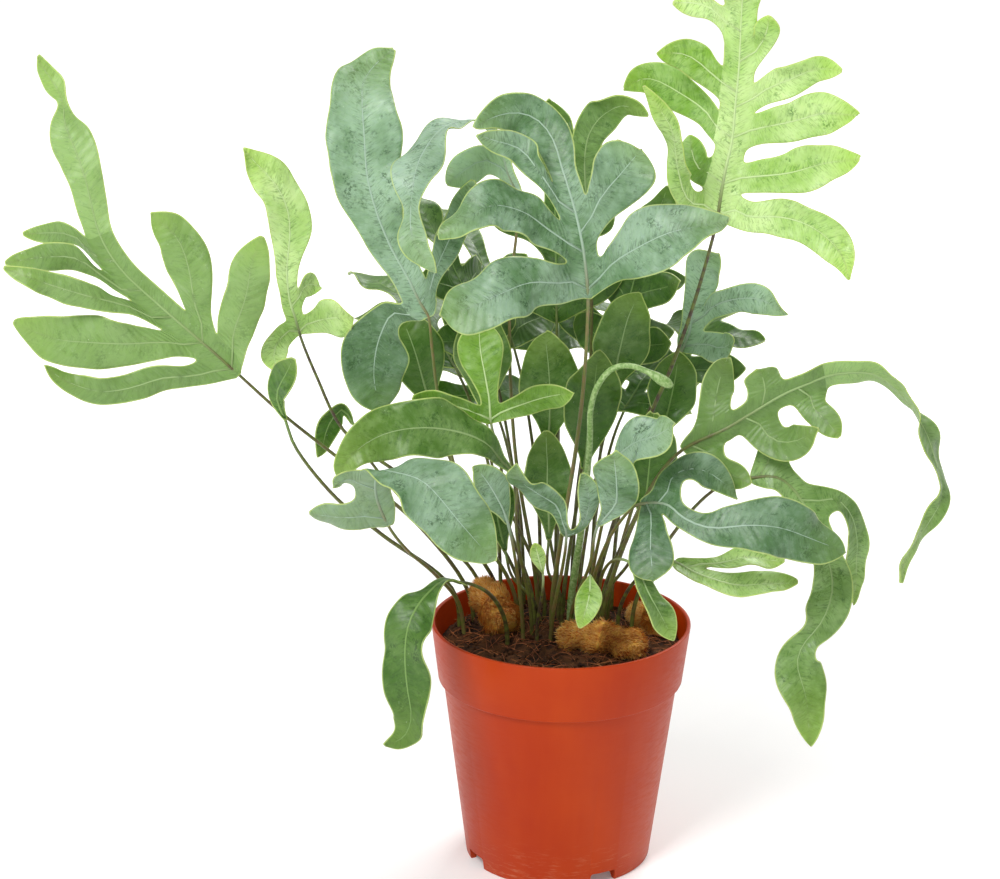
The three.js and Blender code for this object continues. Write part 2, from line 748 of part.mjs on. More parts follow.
    radius: 1.1,
    lobes: [
      lobe(0, 18, [[80, 22, 301], [95, 14, 303], [110, 5, 300], [122, -2, 289], [125, -5, 279]]),
      lobe(0, 12, [[56, 20, 307], [48, 9, 327], [45, 4, 344], [38, 2, 355], [33, 2, 364]],
        { aim: [-0.6, -0.7, 0.4] }),
      lobe(2, 20, [[85, 25, 319], [100, 19, 322], [114, 12, 328], [129, 7, 331]]),
      lobe(2, 14, [[60, 30, 320], [57, 37, 326], [56, 43, 334]]),
      lobe(5, 20, [[87, 27, 341], [101, 21, 345], [113, 14, 350], [127, 9, 349]]),
      lobe(5, 18, [[63, 37, 346], [50, 41, 354], [36, 42, 360], [25, 39, 356]]),
      lobe(7, 15, [[88, 28, 358], [98, 23, 363], [108, 17, 369], [120, 13, 369]]),
      lobe(8, 16, [[65, 30, 364], [53, 27, 373], [39, 25, 375]]),
      lobe(10, 13, [[84, 26, 377], [87, 23, 384], [88, 20, 392]]),
      lobe(12, 12, [[66, 30, 393], [57, 33, 395], [46, 34, 395]]),
    ],
  },
  {
    name: "frond_blue_right",
    colour: "blue",
    face: [-0.2, -0.8, 0.5],
    stem: [[22, 27, FOOT], [24, 28, 120], [41, 38, 185], [51, 45, 219], [55, 46, 231]],
    steps: 4,
    spine: [[59, 47, 241], [60, 47, 253]],
    tip: [[63, 44, 264], [64, 38, 275], [70, 32, 282]],
    width: 19,
    wing: 5,
    lobes: [
      lobe(0, 16, [[66, 41, 237], [72, 34, 236], [77, 28, 242]]),
      lobe(2, 14, [[68, 42, 254], [78, 33, 260], [89, 24, 262], [101, 16, 258]]),
    ],
  },
  {
    name: "frond_right",
    colour: "green",
    face: [0.2, 0.9, 0.35],
    aim: [0.8, -0.45, 0.3],
    stem: [[18, 9, FOOT], [20, 8, 118], [30, 2, 155], [42, -6, 186], [53, -13, 202]],
    steps: 8,
    spine: [[68, -15, 211], [84, -13, 220], [100, -10, 229], [116, -7, 235]],
    tip: [[124, -4, 236], [137, -2, 236], [150, -1, 228], [161, -1, 213], [169, -3, 195],
      [171, -8, 179], [166, -13, 168], [157, -17, 158], [153, -20, 142]],
    width: 17,
    wing: 6,
    radius: 1.1,
    wave: 2,
    pinch: [0.73, 0.4],
    lobes: [
      lobe(1, 15, [[67, -13, 224], [69, -6, 233], [73, 0, 242]]),
      lobe(0, 14, [[66, -17, 198], [74, -22, 194], [83, -27, 191]]),
      lobe(3, 17, [[91, -16, 209], [101, -23, 209], [112, -28, 217]], { fade: 1.5 }),
      lobe(4, 16, [[89, -11, 232], [86, -9, 239]], { fade: 5 }),
      lobe(6, 13, [[110, -11, 222], [116, -17, 218], [122, -21, 211]]),
    ],
  },
  {
    name: "frond_front_right",
    colour: "blue",
    face: [0, -0.8, 0.6],
    stem: [[10, 10, FOOT], [12, 7, 118], [18, -12, 152], [25, -26, 172], [33, -36, 184]],
    steps: 4,
    spine: [[45, -42, 186], [52, -49, 182]],
    tip: [[63, -56, 180], [78, -60, 183], [93, -60, 182], [109, -56, 175], [123, -50, 167]],
    width: 27,
    wing: 5,
    wave: 2.8,
    lobes: [
      lobe(0, 21, [[38, -46, 180], [37, -54, 170], [39, -60, 156]], { fade: 4 }),
      lobe(1, 16, [[47, -37, 198], [57, -36, 201], [67, -35, 197], [77, -35, 187]], { fade: 1.6 }),
    ],
  },
  {
    name: "frond_low_right",
    colour: "lime",
    face: [0.2, -0.5, 0.85],
    stem: [[26, 10, FOOT], [28, 7, 120], [38, -8, 142], [50, -22, 152]],
    steps: 4,
    spine: [[57, -26, 150], [65, -30, 148]],
    tip: [[77, -34, 146], [90, -38, 148], [104, -42, 150]],
    width: 17,
    wing: 5,
    lobes: [
      lobe(1, 14, [[70, -24, 153], [82, -22, 155], [100, -20, 152]]),
    ],
  },
  {
    name: "frond_hanging_right",
    colour: "green",
    face: [-0.1, -0.8, 0.55],
    aim: [0, -0.9, 0.3],
    stem: [[33, 10, FOOT], [35, 8, 122], [53, 2, 160], [70, -6, 182], [84, -10, 188]],
    steps: 5,
    spine: [[98, -14, 189], [113, -19, 170]],
    tip: [[119, -26, 155], [121, -32, 143], [116, -37, 129], [108, -40, 120], [105, -42, 112],
      [109, -46, 98], [112, -50, 74]],
    width: 24,
    wing: 6,
    pinch: [0.52, 0.55],
    lobes: [
      lobe(0, 14, [[93, -5, 199], [102, 2, 203], [112, 6, 199]]),
      lobe(3, 12, [[121, -16, 181], [132, -11, 168], [135, -8, 145], [133, -9, 127]]),
    ],
  },
  {
    name: "leaf_folded_pale",
    colour: "blue",
    face: [-0.2, -0.7, 0.6],
    aim: [0.3, -0.6, 0.8],
    stem: [[12, 17, FOOT], [13, 14, 120], [17, -8, 160], [20, -24, 184], [21, -30, 200]],
    tip: [[26, -36, 209], [32, -42, 216], [38, -47, 219], [47, -50, 225]],
    width: 25,
    wave: 3.6,
    radius: 0.9,
    fade: 4,
  },
  {
    name: "leaf_upright_small",
    colour: "blue",
    face: [0, -1, 0.2],
    stem: [[3, 5, FOOT], [5, 2, 118], [12, -22, 150], [15, -36, 174]],
    tip: [[22, -44, 185], [22, -50, 195], [21, -54, 206], [20, -56, 215]],
    width: 21,
    keel: 1.6,
    radius: 0.9,
    fade: 4,
  },
  {
    name: "leaf_over_front_rim",
    colour: "green",
    face: [-0.3, 0.5, 0.8],
    stem: [[17, 3, FOOT], [17, 1, 118], [18, -14, 142], [23, -34, 157], [29, -46, 160]],
    tip: [[34, -54, 156], [40, -62, 146], [48, -68, 132]],
    width: 15,
    radius: 0.9,
  },
  {
    name: "leaf_over_left_rim",
    colour: "dark",
    face: [0.5, 0.5, 0.6],
    stem: [[-24, -7, FOOT], [-26, -9, 118], [-33, -18, 134], [-43, -28, 143]],
    tip: [[-52, -40, 148], [-61, -52, 147], [-68, -62, 138], [-70, -67, 124], [-69, -69, 109],
      [-67, -69, 94], [-71, -67, 84],
      [-79, -66, 80]],
    width: 23,
    wave: 2.8,
    radius: 1.1,
  },
  {
    name: "leaf_curled_centre",
    colour: "blue",
    face: [-0.2, -0.9, 0.3],
    stem: [[-5, -2, FOOT], [-4, -5, 118], [0, -18, 148], [1, -30, 165]],
    steps: 3,
    wing: 3,
    spine: [[0, -35, 175]],
    tip: [[-4, -39, 184], [-13, -44, 191], [-20, -48, 198], [-22, -52, 208]],
    width: 16,
    wave: 3,
    lobes: [
      lobe(0, 11, [[8, -36, 175], [11, -40, 186], [8, -43, 200]], { aim: [0.4, -0.9, 0.2] }),
    ],
  },
  {
    name: "leaf_small_left",
    colour: "blue",
    face: [0.3, -0.9, 0.4],
    stem: [[-17, -1, FOOT], [-18, -4, 118], [-22, -22, 155], [-25, -30, 172]],
    tip: [[-29, -36, 185], [-34, -40, 195], [-40, -42, 203]],
    width: 17,
    keel: 1.4,
  },
  {
    name: "leaf_bud",
    colour: "lime",
    face: [0, -0.95, 0.3],
    stem: [[-11, -7, FOOT], [-11, -9, 116], [-9, -18, 136], [-9, -22, 146]],
    tip: [[-11, -25, 154], [-13, -27, 162]],
    width: 8,
    radius: 0.8,
    wave: 0.8,
  },
  {
    name: "leaf_spoon",
    colour: "lime",
    face: [0, 0.3, 0.95],
    stem: [[8, 6, FOOT], [10, 0, 118], [13, -16, 140], [12, -28, 147]],
    tip: [[12, -36, 146], [11, -43, 140], [7, -49, 130]],
    width: 12,
    radius: 0.8,
    wave: 0.8,
  },
  {
    name: "leaf_inner_left",
    colour: "green",
    face: [0.05, -0.95, 0.15],
    stem: [[-8, 24, FOOT], [-8, 25, 120], [-32, 24, 180], [-35, 23, 204]],
    tip: [[-36, 21, 219], [-37, 19, 234], [-38, 18, 248], [-37, 18, 262]],
    width: 26,
    radius: 0.9,
  },
  {
    name: "leaf_inner_centre",
    colour: "green",
    face: [0.05, -0.95, 0.15],
    stem: [[9, 27, FOOT], [9, 28, 120], [18, 28, 188], [23, 27, 213]],
    tip: [[24, 26, 228], [26, 24, 240], [29, 24, 253], [34, 24, 265]],
    width: 27,
    radius: 0.9,
  },
  {
    name: "leaf_inner_right",
    colour: "dark",
    face: [0.05, -0.95, 0.15],
    stem: [[20, 19, FOOT], [20, 20, 120], [41, 24, 175], [45, 25, 195]],
    tip: [[48, 26, 206], [50, 28, 215], [52, 31, 224], [53, 33, 235]],
    width: 25,
    radius: 0.9,
  },
  {
    name: "leaf_inner_far_left",
    colour: "green",
    face: [0.05, -0.95, 0.15],
    stem: [[-19, 30, FOOT], [-19, 31, 120], [-52, 29, 183], [-60, 27, 207]],
    tip: [[-64, 26, 220], [-67, 26, 232], [-71, 28, 243], [-76, 30, 254]],
    width: 27,
    radius: 0.9,
  },
  {
    name: "leaf_inner_middle",
    colour: "green",
    face: [0.05, -0.95, 0.15],
    stem: [[-1, 22, FOOT], [-1, 23, 120], [-8, 22, 166], [-7, 24, 190]],
    tip: [[-6, 25, 201], [-6, 26, 215], [-7, 27, 230], [-9, 27, 245]],
    width: 29,
    radius: 0.9,
  },
  {
    name: "leaf_inner_tall",
    colour: "dark",
    face: [0.05, -0.95, 0.15],
    stem: [[9, 21, FOOT], [9, 22, 120], [9, 20, 157], [10, 18, 182]],
    tip: [[11, 17, 194], [12, 15, 209], [14, 13, 224], [15, 12, 241]],
    width: 27,
    radius: 0.9,
  },
  {
    name: "leaf_inner_low_left",
    colour: "dark",
    face: [0.05, -0.95, 0.15],
    stem: [[-7, 18, FOOT], [-12, 18, 116], [-23, 18, 130], [-26, 18, 142]],
    tip: [[-28, 18, 150], [-30, 18, 160], [-31, 17, 168], [-33, 15, 183]],
    width: 20,
    radius: 0.9,
  },
  {
    name: "leaf_inner_low_centre",
    colour: "green",
    face: [0.05, -0.95, 0.15],
    stem: [[0, 17, FOOT], [0, 18, 120], [-6, 16, 133], [-6, 15, 149]],
    tip: [[-6, 14, 161], [-7, 13, 174], [-7, 13, 186], [-8, 14, 202]],
    width: 23,
    radius: 0.9,
  },
  {
    name: "leaf_inner_low_right",
    colour: "dark",
    face: [0.05, -0.95, 0.15],
    stem: [[20, 14, FOOT], [20, 15, 120], [32, 12, 140], [36, 10, 158]],
    tip: [[38, 9, 168], [39, 8, 181], [40, 8, 195], [41, 8, 212]],
    width: 27,
    radius: 0.9,
  },
  {
    name: "frond_behind_centre",
    colour: "green",
    face: [-0.3, -0.9, 0.3],
    stem: [[1, 26, FOOT], [2, 27, 120], [10, 38, 180], [13, 41, 240], [11, 38, 291]],
    steps: 4,
    spine: [[10, 36, 300], [9, 34, 312]],
    tip: [[8, 30, 322], [9, 25, 336], [15, 18, 347], [25, 13, 353], [35, 9, 349]],
    width: 16,
    lobes: [
      lobe(0, 16, [[20, 39, 305], [26, 40, 317], [24, 40, 332]]),
      lobe(1, 15, [[0, 37, 309], [-9, 37, 318], [-16, 34, 328]]),
    ],
  },
];

// The fronds behind: each leans one way from its foot in a single arch that bends by `bend` degrees
// over its length, with its lobes in pairs
const BEHIND = [
  { name: "frond_back_1", foot: [-2, 36], turn: 94, length: 242, bend: 32, pairs: 2, lobe: 38 },
  { name: "frond_back_2", foot: [-19, 36], turn: 146, length: 212, bend: 46, pairs: 2, lobe: 34 },
  { name: "frond_back_3", foot: [15, 35], turn: 54, length: 206, bend: 40, pairs: 2, lobe: 31 },
  { name: "frond_back_4", foot: [-9, 44], turn: 117, length: 218, bend: 78, pairs: 2, lobe: 34 },
  { name: "frond_back_5", foot: [6, 45], turn: 63, length: 214, bend: 82, pairs: 2, lobe: 34 },
  { name: "frond_back_6", foot: [-28, 42], turn: 130, length: 206, bend: 98, pairs: 2, lobe: 38 },
  { name: "frond_back_7", foot: [25, 39], turn: 46, length: 196, bend: 98, pairs: 2, lobe: 38 },
  { name: "frond_back_8", foot: [-1, 52], turn: 90, length: 216, bend: 120, pairs: 2, lobe: 38 },
  { name: "frond_back_9", foot: [15, 49], turn: 62, length: 164, bend: 116, pairs: 2, lobe: 32 },
  { name: "frond_back_10", foot: [-17, 49], turn: 118, length: 168, bend: 112, pairs: 2, lobe: 32 },
];

// The share of a back frond's length below its lobes, and how its arch is stepped and bent
const ARCH_STEM_SHARE = 0.56;
const ARCH_COUNT = 40;
const ARCH_SHAPE = 1.4;
const ARCH_BLADE_WIDTH = 20;

function archedFrond({ name, foot, turn, length, bend, pairs, lobe: lobeLength }, order) {
  const heading = THREE.MathUtils.degToRad(turn);
  const out = point(Math.cos(heading), Math.sin(heading), 0);
  const side = point(-Math.sin(heading), Math.cos(heading), 0);
  const start = point(foot[0], foot[1], SOIL_TOP + 4);
  const at = (share) => {
    const spot = start.clone();
    for (let index = 0; index < ARCH_COUNT; index += 1) {
      const lean = THREE.MathUtils.degToRad(bend) * ((share * (index + 0.5)) / ARCH_COUNT) ** ARCH_SHAPE;
      const step = (length * share) / ARCH_COUNT;
      spot.addScaledVector(out, step * Math.sin(lean)).setZ(spot.z + step * Math.cos(lean));
    }
    return spot;
  };
  const from = ARCH_STEM_SHARE;
  const to = from + 0.1 + 0.08 * pairs;
  const lobes = [];
  for (let pair = 0; pair < pairs; pair += 1) {
    const base = at(THREE.MathUtils.lerp(from, to, (3 * pair + 1) / (3 * pairs)));
    const ahead = at(1).sub(at(from)).normalize();
    [1, -1].forEach((hand) => {
      const reach = lobeLength * (1 - 0.14 * pair) * (1 + 0.08 * Math.sin(3 * order + pair + hand));
      const path = [0.35, 0.7, 1].map((bit) => {
        const step = base.clone().addScaledVector(side, hand * reach * bit * (1 - 0.1 * bit));
        step.addScaledVector(ahead, reach * (0.3 * bit + 0.2 * bit * bit));
        step.z -= reach * bit * bit * (0.16 + 0.1 * Math.sin(order + 2 * pair + hand));
        return step.toArray();
      });
      lobes.push(lobe(3 * pair, 18 - 2 * pair, path));
    });
  }
  return {
    name,
    colour: "dark",
    face: out.clone().multiplyScalar(-0.9).setZ(0.35).toArray(),
    stem: [[foot[0], foot[1], FOOT], ...[0.04, 0.25, 0.46, from].map((share) => at(share).toArray())],
    steps: 3 * pairs,
    spine: [at((from + to) / 2).toArray(), at(to).toArray()],
    tip: [0.25, 0.5, 0.75, 1].map((share) => at(THREE.MathUtils.lerp(to, 1, share)).toArray()),
    width: ARCH_BLADE_WIDTH,
    lobes,
  };
}

const ALL_FRONDS = [...FRONDS, ...BEHIND.map((frond, index) => archedFrond(frond, index))];

// The crozier: a young frond still coiled at its end
const CROZIER = {
  radius: 1.5,
  step: 9,
  stem: [[5, 18, FOOT], [5, 15, 118], [9, -4, 165], [11, -24, 210], [11, -27, 225], [14, -30, 237],
    [20, -32, 245], [27, -34, 247], [35, -36, 245], [41, -38, 242], [46, -38, 239]],
};

function makeCrozier({ stem, radius }) {
  const curve = new THREE.CatmullRomCurve3(stem.map((place) => point(...place)));
  const { stations, faces } = stemStations(curve, 1, point(0, -0.5, 0.9), CROZIER.step);
  const skin = new Skin();
  let before;
  stations.forEach((station, index) => {
    const share = index / (stations.length - 1);
    const bulge = 1 + 0.9 * smooth(0.93, 0.97, share) - 1.1 * smooth(0.985, 1, share);
    const girth = radius * (1.2 - 0.35 * smooth(0, 0.9, share)) * bulge;
    const ring = stemRing(skin, station, faces[index], girth);
    if (before) {
      skin.join(before, ring);
    } else {
      skin.fan(ring, true);
    }
    before = ring;
  });
  skin.fan(before, false);
  return skin.geometry();
}

// Assembly

const plant = new THREE.Group();

function place(name, geometry, colour, roughness) {
  const material = new THREE.MeshStandardMaterial({ color: COLOURS[colour], roughness, metalness: 0 });
  const mesh = new THREE.Mesh(geometry, material);
  mesh.name = name;
  plant.add(mesh);
}

place("pot", makePot(), "pot", 0.45);
const hollows = RHIZOMES.map((rhizome) => toManifold(makeRhizome(rhizome, RHIZOME_GAP)));
const stemHoles = [...ALL_FRONDS, CROZIER].map(makeStemHole);
place("potting_soil", makeSoil([...hollows, ...stemHoles]), "soil", 0.95);
RHIZOMES.forEach((rhizome) => place(rhizome.name, makeRhizome(rhizome), "rhizome", 0.9));
ALL_FRONDS.forEach((frond, order) => place(frond.name, makeFrond(frond, order), frond.colour, 0.6));
place("crozier", makeCrozier(CROZIER), "green", 0.6);

export default plant;
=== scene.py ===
# Potted blue star fern: a moulded nursery pot filled with soil, creeping furry rhizomes, and lobed
# wavy fronds. Metres, +Z up. The origin is the centre of the pot's underside, and -Y is the front.
import itertools
import math
import random

import bmesh
import bpy
import numpy as np
from mathutils import Matrix, Quaternion, Vector, noise
from mathutils.kdtree import KDTree


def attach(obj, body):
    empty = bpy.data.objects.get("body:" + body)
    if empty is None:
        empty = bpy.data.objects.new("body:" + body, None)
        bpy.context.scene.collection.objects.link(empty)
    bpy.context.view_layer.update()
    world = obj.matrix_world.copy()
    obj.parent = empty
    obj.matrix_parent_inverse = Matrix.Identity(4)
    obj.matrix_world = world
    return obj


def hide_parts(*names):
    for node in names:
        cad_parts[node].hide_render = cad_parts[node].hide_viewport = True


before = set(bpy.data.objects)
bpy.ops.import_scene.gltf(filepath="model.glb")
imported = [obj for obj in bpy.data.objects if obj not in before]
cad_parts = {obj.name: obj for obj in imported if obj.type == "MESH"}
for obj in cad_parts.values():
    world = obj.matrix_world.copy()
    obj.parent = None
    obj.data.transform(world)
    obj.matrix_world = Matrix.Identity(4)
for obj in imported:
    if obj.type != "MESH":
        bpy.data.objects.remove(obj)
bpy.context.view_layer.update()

MM = 0.001
NOISE_SEED = 11

noise.seed_set(NOISE_SEED)


# The studio: a pale floor, which glows more strongly away from the pot as painted light, under a
# white surround, a broad soft light in front and one behind that shines through the leaves, and a
# camera that looks a little down at the plant.
CAMERA_TILT = math.radians(17.5)
CAMERA_ROLL = math.radians(0.5)
CAMERA_AWAY = 1.250
CAMERA_TARGET = Vector((-0.0289, 0, 0.202))
CAMERA_LENS = 99.36
CAMERA_SENSOR = 36
SURROUND_LIGHT = 0.46
FLOOR_SIZE = 40
FLOOR_GLOW_REACH = (0.15, 1.3)
FLOOR_GLOW = (0.12, 0.62)

camera = bpy.data.objects.new("camera", bpy.data.cameras.new("camera"))
bpy.context.scene.collection.objects.link(camera)
bpy.context.scene.camera = camera
camera_back = Vector((0, -math.cos(CAMERA_TILT), math.sin(CAMERA_TILT)))
camera_up = Vector((0, math.sin(CAMERA_TILT), math.cos(CAMERA_TILT)))
camera_right = Vector((1, 0, 0))
rolled_right = camera_right * math.cos(CAMERA_ROLL) + camera_up * math.sin(CAMERA_ROLL)
rolled_up = camera_up * math.cos(CAMERA_ROLL) - camera_right * math.sin(CAMERA_ROLL)
turn = Matrix((rolled_right, rolled_up, camera_back)).transposed()
camera.matrix_world = Matrix.Translation(CAMERA_TARGET + CAMERA_AWAY * camera_back) @ turn.to_4x4()
camera.data.lens = CAMERA_LENS
camera.data.sensor_width = CAMERA_SENSOR

world = bpy.data.worlds.new("white_surround")
bpy.context.scene.world = world
world.use_nodes = True
surround = world.node_tree.nodes["Background"]
surround.inputs["Color"].default_value = (1, 1, 1, 1)
seen = world.node_tree.nodes.new("ShaderNodeLightPath")
strength = world.node_tree.nodes.new("ShaderNodeMapRange")
strength.inputs["To Min"].default_value = SURROUND_LIGHT
strength.inputs["To Max"].default_value = 1.0
world.node_tree.links.new(seen.outputs["Is Camera Ray"], strength.inputs["Value"])
world.node_tree.links.new(strength.outputs["Result"], surround.inputs["Strength"])
bpy.context.scene.view_settings.view_transform = "Standard"
bpy.context.scene.view_settings.look = "None"


def soft_light(name, place, aim, size, watts):
    """A square soft light that shines from its place towards a point."""
    bpy.ops.object.light_add(type="AREA", location=place)
    light = bpy.context.object
    light.name = name
    light.data.energy = watts
    light.data.size = size
    light.rotation_euler = (Vector(aim) - Vector(place)).to_track_quat("-Z", "Y").to_euler()


soft_light("front_light", place=(-0.7, -1.1, 1.5), aim=(0, 0, 0.2), size=0.6, watts=23)
soft_light("back_light", place=(0.6, 1.2, 1.4), aim=(0, 0, 0.3), size=0.9, watts=20)


def paint(code):
    """A colour as red, green, blue and 1 for a shader socket, from its six-figure web code."""
    shares = [int(code[at:at + 2], 16) / 255 for at in (0, 2, 4)]
    return [*(s / 12.92 if s <= 0.04045 else ((s + 0.055) / 1.055) ** 2.4 for s in shares), 1]


class Finish:
    """A surface finish: one node material, whose nodes are added and wired as they are called for."""

    def __init__(self, name):
        self.material = bpy.data.materials.new(name)
        self.material.use_nodes = True
        self.tree = self.material.node_tree
        self.shader = self.tree.nodes["Principled BSDF"]

    def wire(self, socket, value):
        """Sets a socket to a plain value, or links another node's output to it."""
        if isinstance(value, bpy.types.NodeSocket):
            self.tree.links.new(value, socket)
        else:
            socket.default_value = value

    def set(self, **values):
        """Sets the shader's own sockets: base_color= is the socket Base Color, and so on."""
        for name, value in values.items():
            wanted = name.replace("_", " ").lower()
            socket = next(s for s in self.shader.inputs if s.name.lower() == wanted)
            self.wire(socket, value)

    def node(self, kind, inputs, **settings):
        made = self.tree.nodes.new("ShaderNode" + kind)
        for name, value in settings.items():
            setattr(made, name, value)
        for name, value in inputs.items():
            self.wire(made.inputs[name], value)
        return made

    def place(self):
        return self.node("TexCoord", {}).outputs["Object"]

    def noise(self, where, scale, detail=3, roughness=0.55):
        inputs = {"Vector": where, "Scale": scale, "Detail": detail, "Roughness": roughness}
        return self.node("TexNoise", inputs).outputs["Fac"]

    def math(self, operation, a, b=0.0, clamp=False):
        return self.node("Math", {0: a, 1: b}, operation=operation, use_clamp=clamp).outputs[0]

    def fade(self, value, low, high, start=0.0, end=1.0):
        """The value eased from start to end as it goes from low to high."""
        inputs = {"Value": value, "From Min": low, "From Max": high, "To Min": start, "To Max": end}
        return self.node("MapRange", inputs, interpolation_type="SMOOTHSTEP").outputs["Result"]

    def mix(self, share, a, b):
        made = self.node("Mix", {}, data_type="RGBA")
        self.wire(made.inputs["Factor"], share)
        self.wire(made.inputs[6], a)
        self.wire(made.inputs[7], b)
        return made.outputs[2]

    def bump(self, height, depth):
        inputs = {"Height": height, "Distance": depth}
        self.wire(self.shader.inputs["Normal"], self.node("Bump", inputs).outputs[0])


floor_finish = Finish("floor_white")
floor_place = floor_finish.place()
floor_tone = floor_finish.noise(floor_place, 3)
floor_away = floor_finish.node("VectorMath", {0: floor_place}, operation="LENGTH").outputs["Value"]
# Painted light: the floor glows by itself, faintly near the pot and more strongly further out, so that it
# fades into the white surround while the shadow round the pot stays.
floor_finish.set(
    base_color=floor_finish.mix(floor_tone, paint("F4F4F4"), paint("F7F7F6")),
    roughness=0.6,
    emission_color=(1, 1, 1, 1),
    emission_strength=floor_finish.fade(floor_away, *FLOOR_GLOW_REACH, *FLOOR_GLOW),
)
bpy.ops.mesh.primitive_plane_add(size=FLOOR_SIZE, location=(0, 0, 0))
studio_floor = bpy.context.object
studio_floor.name = "studio_floor"
studio_floor.data.materials.append(floor_finish.material)


# The pot: one thin moulding of terracotta-coloured plastic, with a deep plain band under its lip, a
# slightly tapered body, a foot ring with four notches, and eight round drain holes in its floor.
POT_HEIGHT = 114.8 * MM
POT_RIM_RADIUS = 60 * MM
POT_BASE_RADIUS = 43.2 * MM
POT_BAND_HEIGHT = 27.5 * MM
POT_BAND_FOOT_RADIUS = 56.6 * MM
POT_BODY_TOP_RADIUS = 54.4 * MM
POT_WALL = 1.8 * MM
POT_FLOOR_TOP = 5 * MM
POT_SIDES = 160
POT_EDGE_ROUND = 0.55 * MM
FOOT_DISC_RADIUS = 20 * MM
DRAIN_CHANNEL_HEIGHT = 3.2 * MM
SKIRT_WIDTH = 2.6 * MM
NOTCH_COUNT = 4
NOTCH_WIDTH = 13 * MM
NOTCH_HEIGHT = 5.5 * MM
NOTCH_DEPTH = 8 * MM
NOTCH_ROUND = 1.2 * MM
NOTCH_TURN = math.radians(-62)
DRAIN_HOLE_RADIUS = 4 * MM
DRAIN_HOLE_SIDES = 28
DRAIN_HOLE_COUNT = 8


def take(piece):
    """Makes this the one selected object."""
    bpy.ops.object.select_all(action="DESELECT")
    piece.select_set(True)
    bpy.context.view_layer.objects.active = piece


def settle(piece):
    """Puts the piece's place, turn and size into its mesh."""
    take(piece)
    bpy.ops.object.transform_apply(location=True, rotation=True, scale=True)


def apply_modifiers(piece):
    take(piece)
    for modifier in list(piece.modifiers):
        bpy.ops.object.modifier_apply(modifier=modifier.name)


def turned_wall(name, profile, sides):
    """A wall turned from a ring that is drawn out and sized along the profile, closed at both ends."""
    (radius, height), *rest = profile
    bpy.ops.mesh.primitive_circle_add(vertices=sides, radius=radius, location=(0, 0, height))
    piece = bpy.context.object
    piece.name = name
    settle(piece)
    bpy.ops.object.mode_set(mode="EDIT")
    bpy.ops.mesh.select_all(action="SELECT")
    for next_radius, next_height in rest:
        bpy.ops.mesh.extrude_region_move(TRANSFORM_OT_translate={"value": (0, 0, next_height - height)})
        share = next_radius / radius
        bpy.ops.transform.resize(value=(share, share, 1), center_override=(0, 0, next_height))
        radius, height = next_radius, next_height
    bpy.ops.mesh.edge_face_add()
    bpy.ops.mesh.select_all(action="DESELECT")
    bpy.ops.mesh.select_non_manifold()
    bpy.ops.mesh.edge_face_add()
    bpy.ops.mesh.select_all(action="SELECT")
    bpy.ops.mesh.normals_make_consistent(inside=False)
    bpy.ops.object.mode_set(mode="OBJECT")
    return piece


def cut_away(piece, cutter):
    """Cuts one mesh out of another and removes the cutter."""
    cut = piece.modifiers.new("cut", "BOOLEAN")
    cut.operation = "DIFFERENCE"
    cut.object = cutter
    cut.solver = "EXACT"
    apply_modifiers(piece)
    bpy.data.objects.remove(cutter, do_unlink=True)


band_foot = POT_HEIGHT - POT_BAND_HEIGHT
skirt_inner = POT_BASE_RADIUS - SKIRT_WIDTH
pot = turned_wall("nursery_pot", [
    (FOOT_DISC_RADIUS, 0),
    (FOOT_DISC_RADIUS + 1.5 * MM, DRAIN_CHANNEL_HEIGHT),
    (skirt_inner - 1 * MM, DRAIN_CHANNEL_HEIGHT),
    (skirt_inner, 0),
    (POT_BASE_RADIUS, 0),
    (POT_BODY_TOP_RADIUS, band_foot),
    (POT_BAND_FOOT_RADIUS, band_foot + 0.2 * MM),
    (POT_RIM_RADIUS, POT_HEIGHT),
    (POT_RIM_RADIUS - POT_WALL, POT_HEIGHT),
    (POT_BAND_FOOT_RADIUS - POT_WALL, band_foot + 2 * MM),
    (POT_BODY_TOP_RADIUS - POT_WALL, band_foot - 1 * MM),
    (POT_BASE_RADIUS - POT_WALL + 0.9 * MM, POT_FLOOR_TOP),
], POT_SIDES)
rounding = pot.modifiers.new("rounding", "BEVEL")
rounding.width = POT_EDGE_ROUND
rounding.segments = 3
rounding.limit_method = "ANGLE"
rounding.angle_limit = math.radians(14)
rounding.use_clamp_overlap = True
apply_modifiers(pot)
for index in range(NOTCH_COUNT):
    angle = NOTCH_TURN + index * math.tau / NOTCH_COUNT
    where = (math.cos(angle) * POT_BASE_RADIUS, math.sin(angle) * POT_BASE_RADIUS, 0)
    bpy.ops.mesh.primitive_cube_add(size=1, location=where, rotation=(0, 0, angle))
    notch = bpy.context.object
    notch.scale = (NOTCH_DEPTH, NOTCH_WIDTH, 2 * NOTCH_HEIGHT)
    settle(notch)
    soften = notch.modifiers.new("soften", "BEVEL")
    soften.width = NOTCH_ROUND
    soften.segments = 3
    apply_modifiers(notch)
    cut_away(pot, notch)
channel_middle = (FOOT_DISC_RADIUS + skirt_inner) / 2
for index in range(DRAIN_HOLE_COUNT):
    angle = NOTCH_TURN + (index + 0.5) * math.tau / DRAIN_HOLE_COUNT
    where = (math.cos(angle) * channel_middle, math.sin(angle) * channel_middle, 0)
    bpy.ops.mesh.primitive_cylinder_add(
        vertices=DRAIN_HOLE_SIDES, radius=DRAIN_HOLE_RADIUS, depth=3 * POT_FLOOR_TOP, location=where)
    hole = bpy.context.object
    settle(hole)
    cut_away(pot, hole)
take(pot)
bpy.ops.object.shade_smooth_by_angle(angle=math.radians(32))

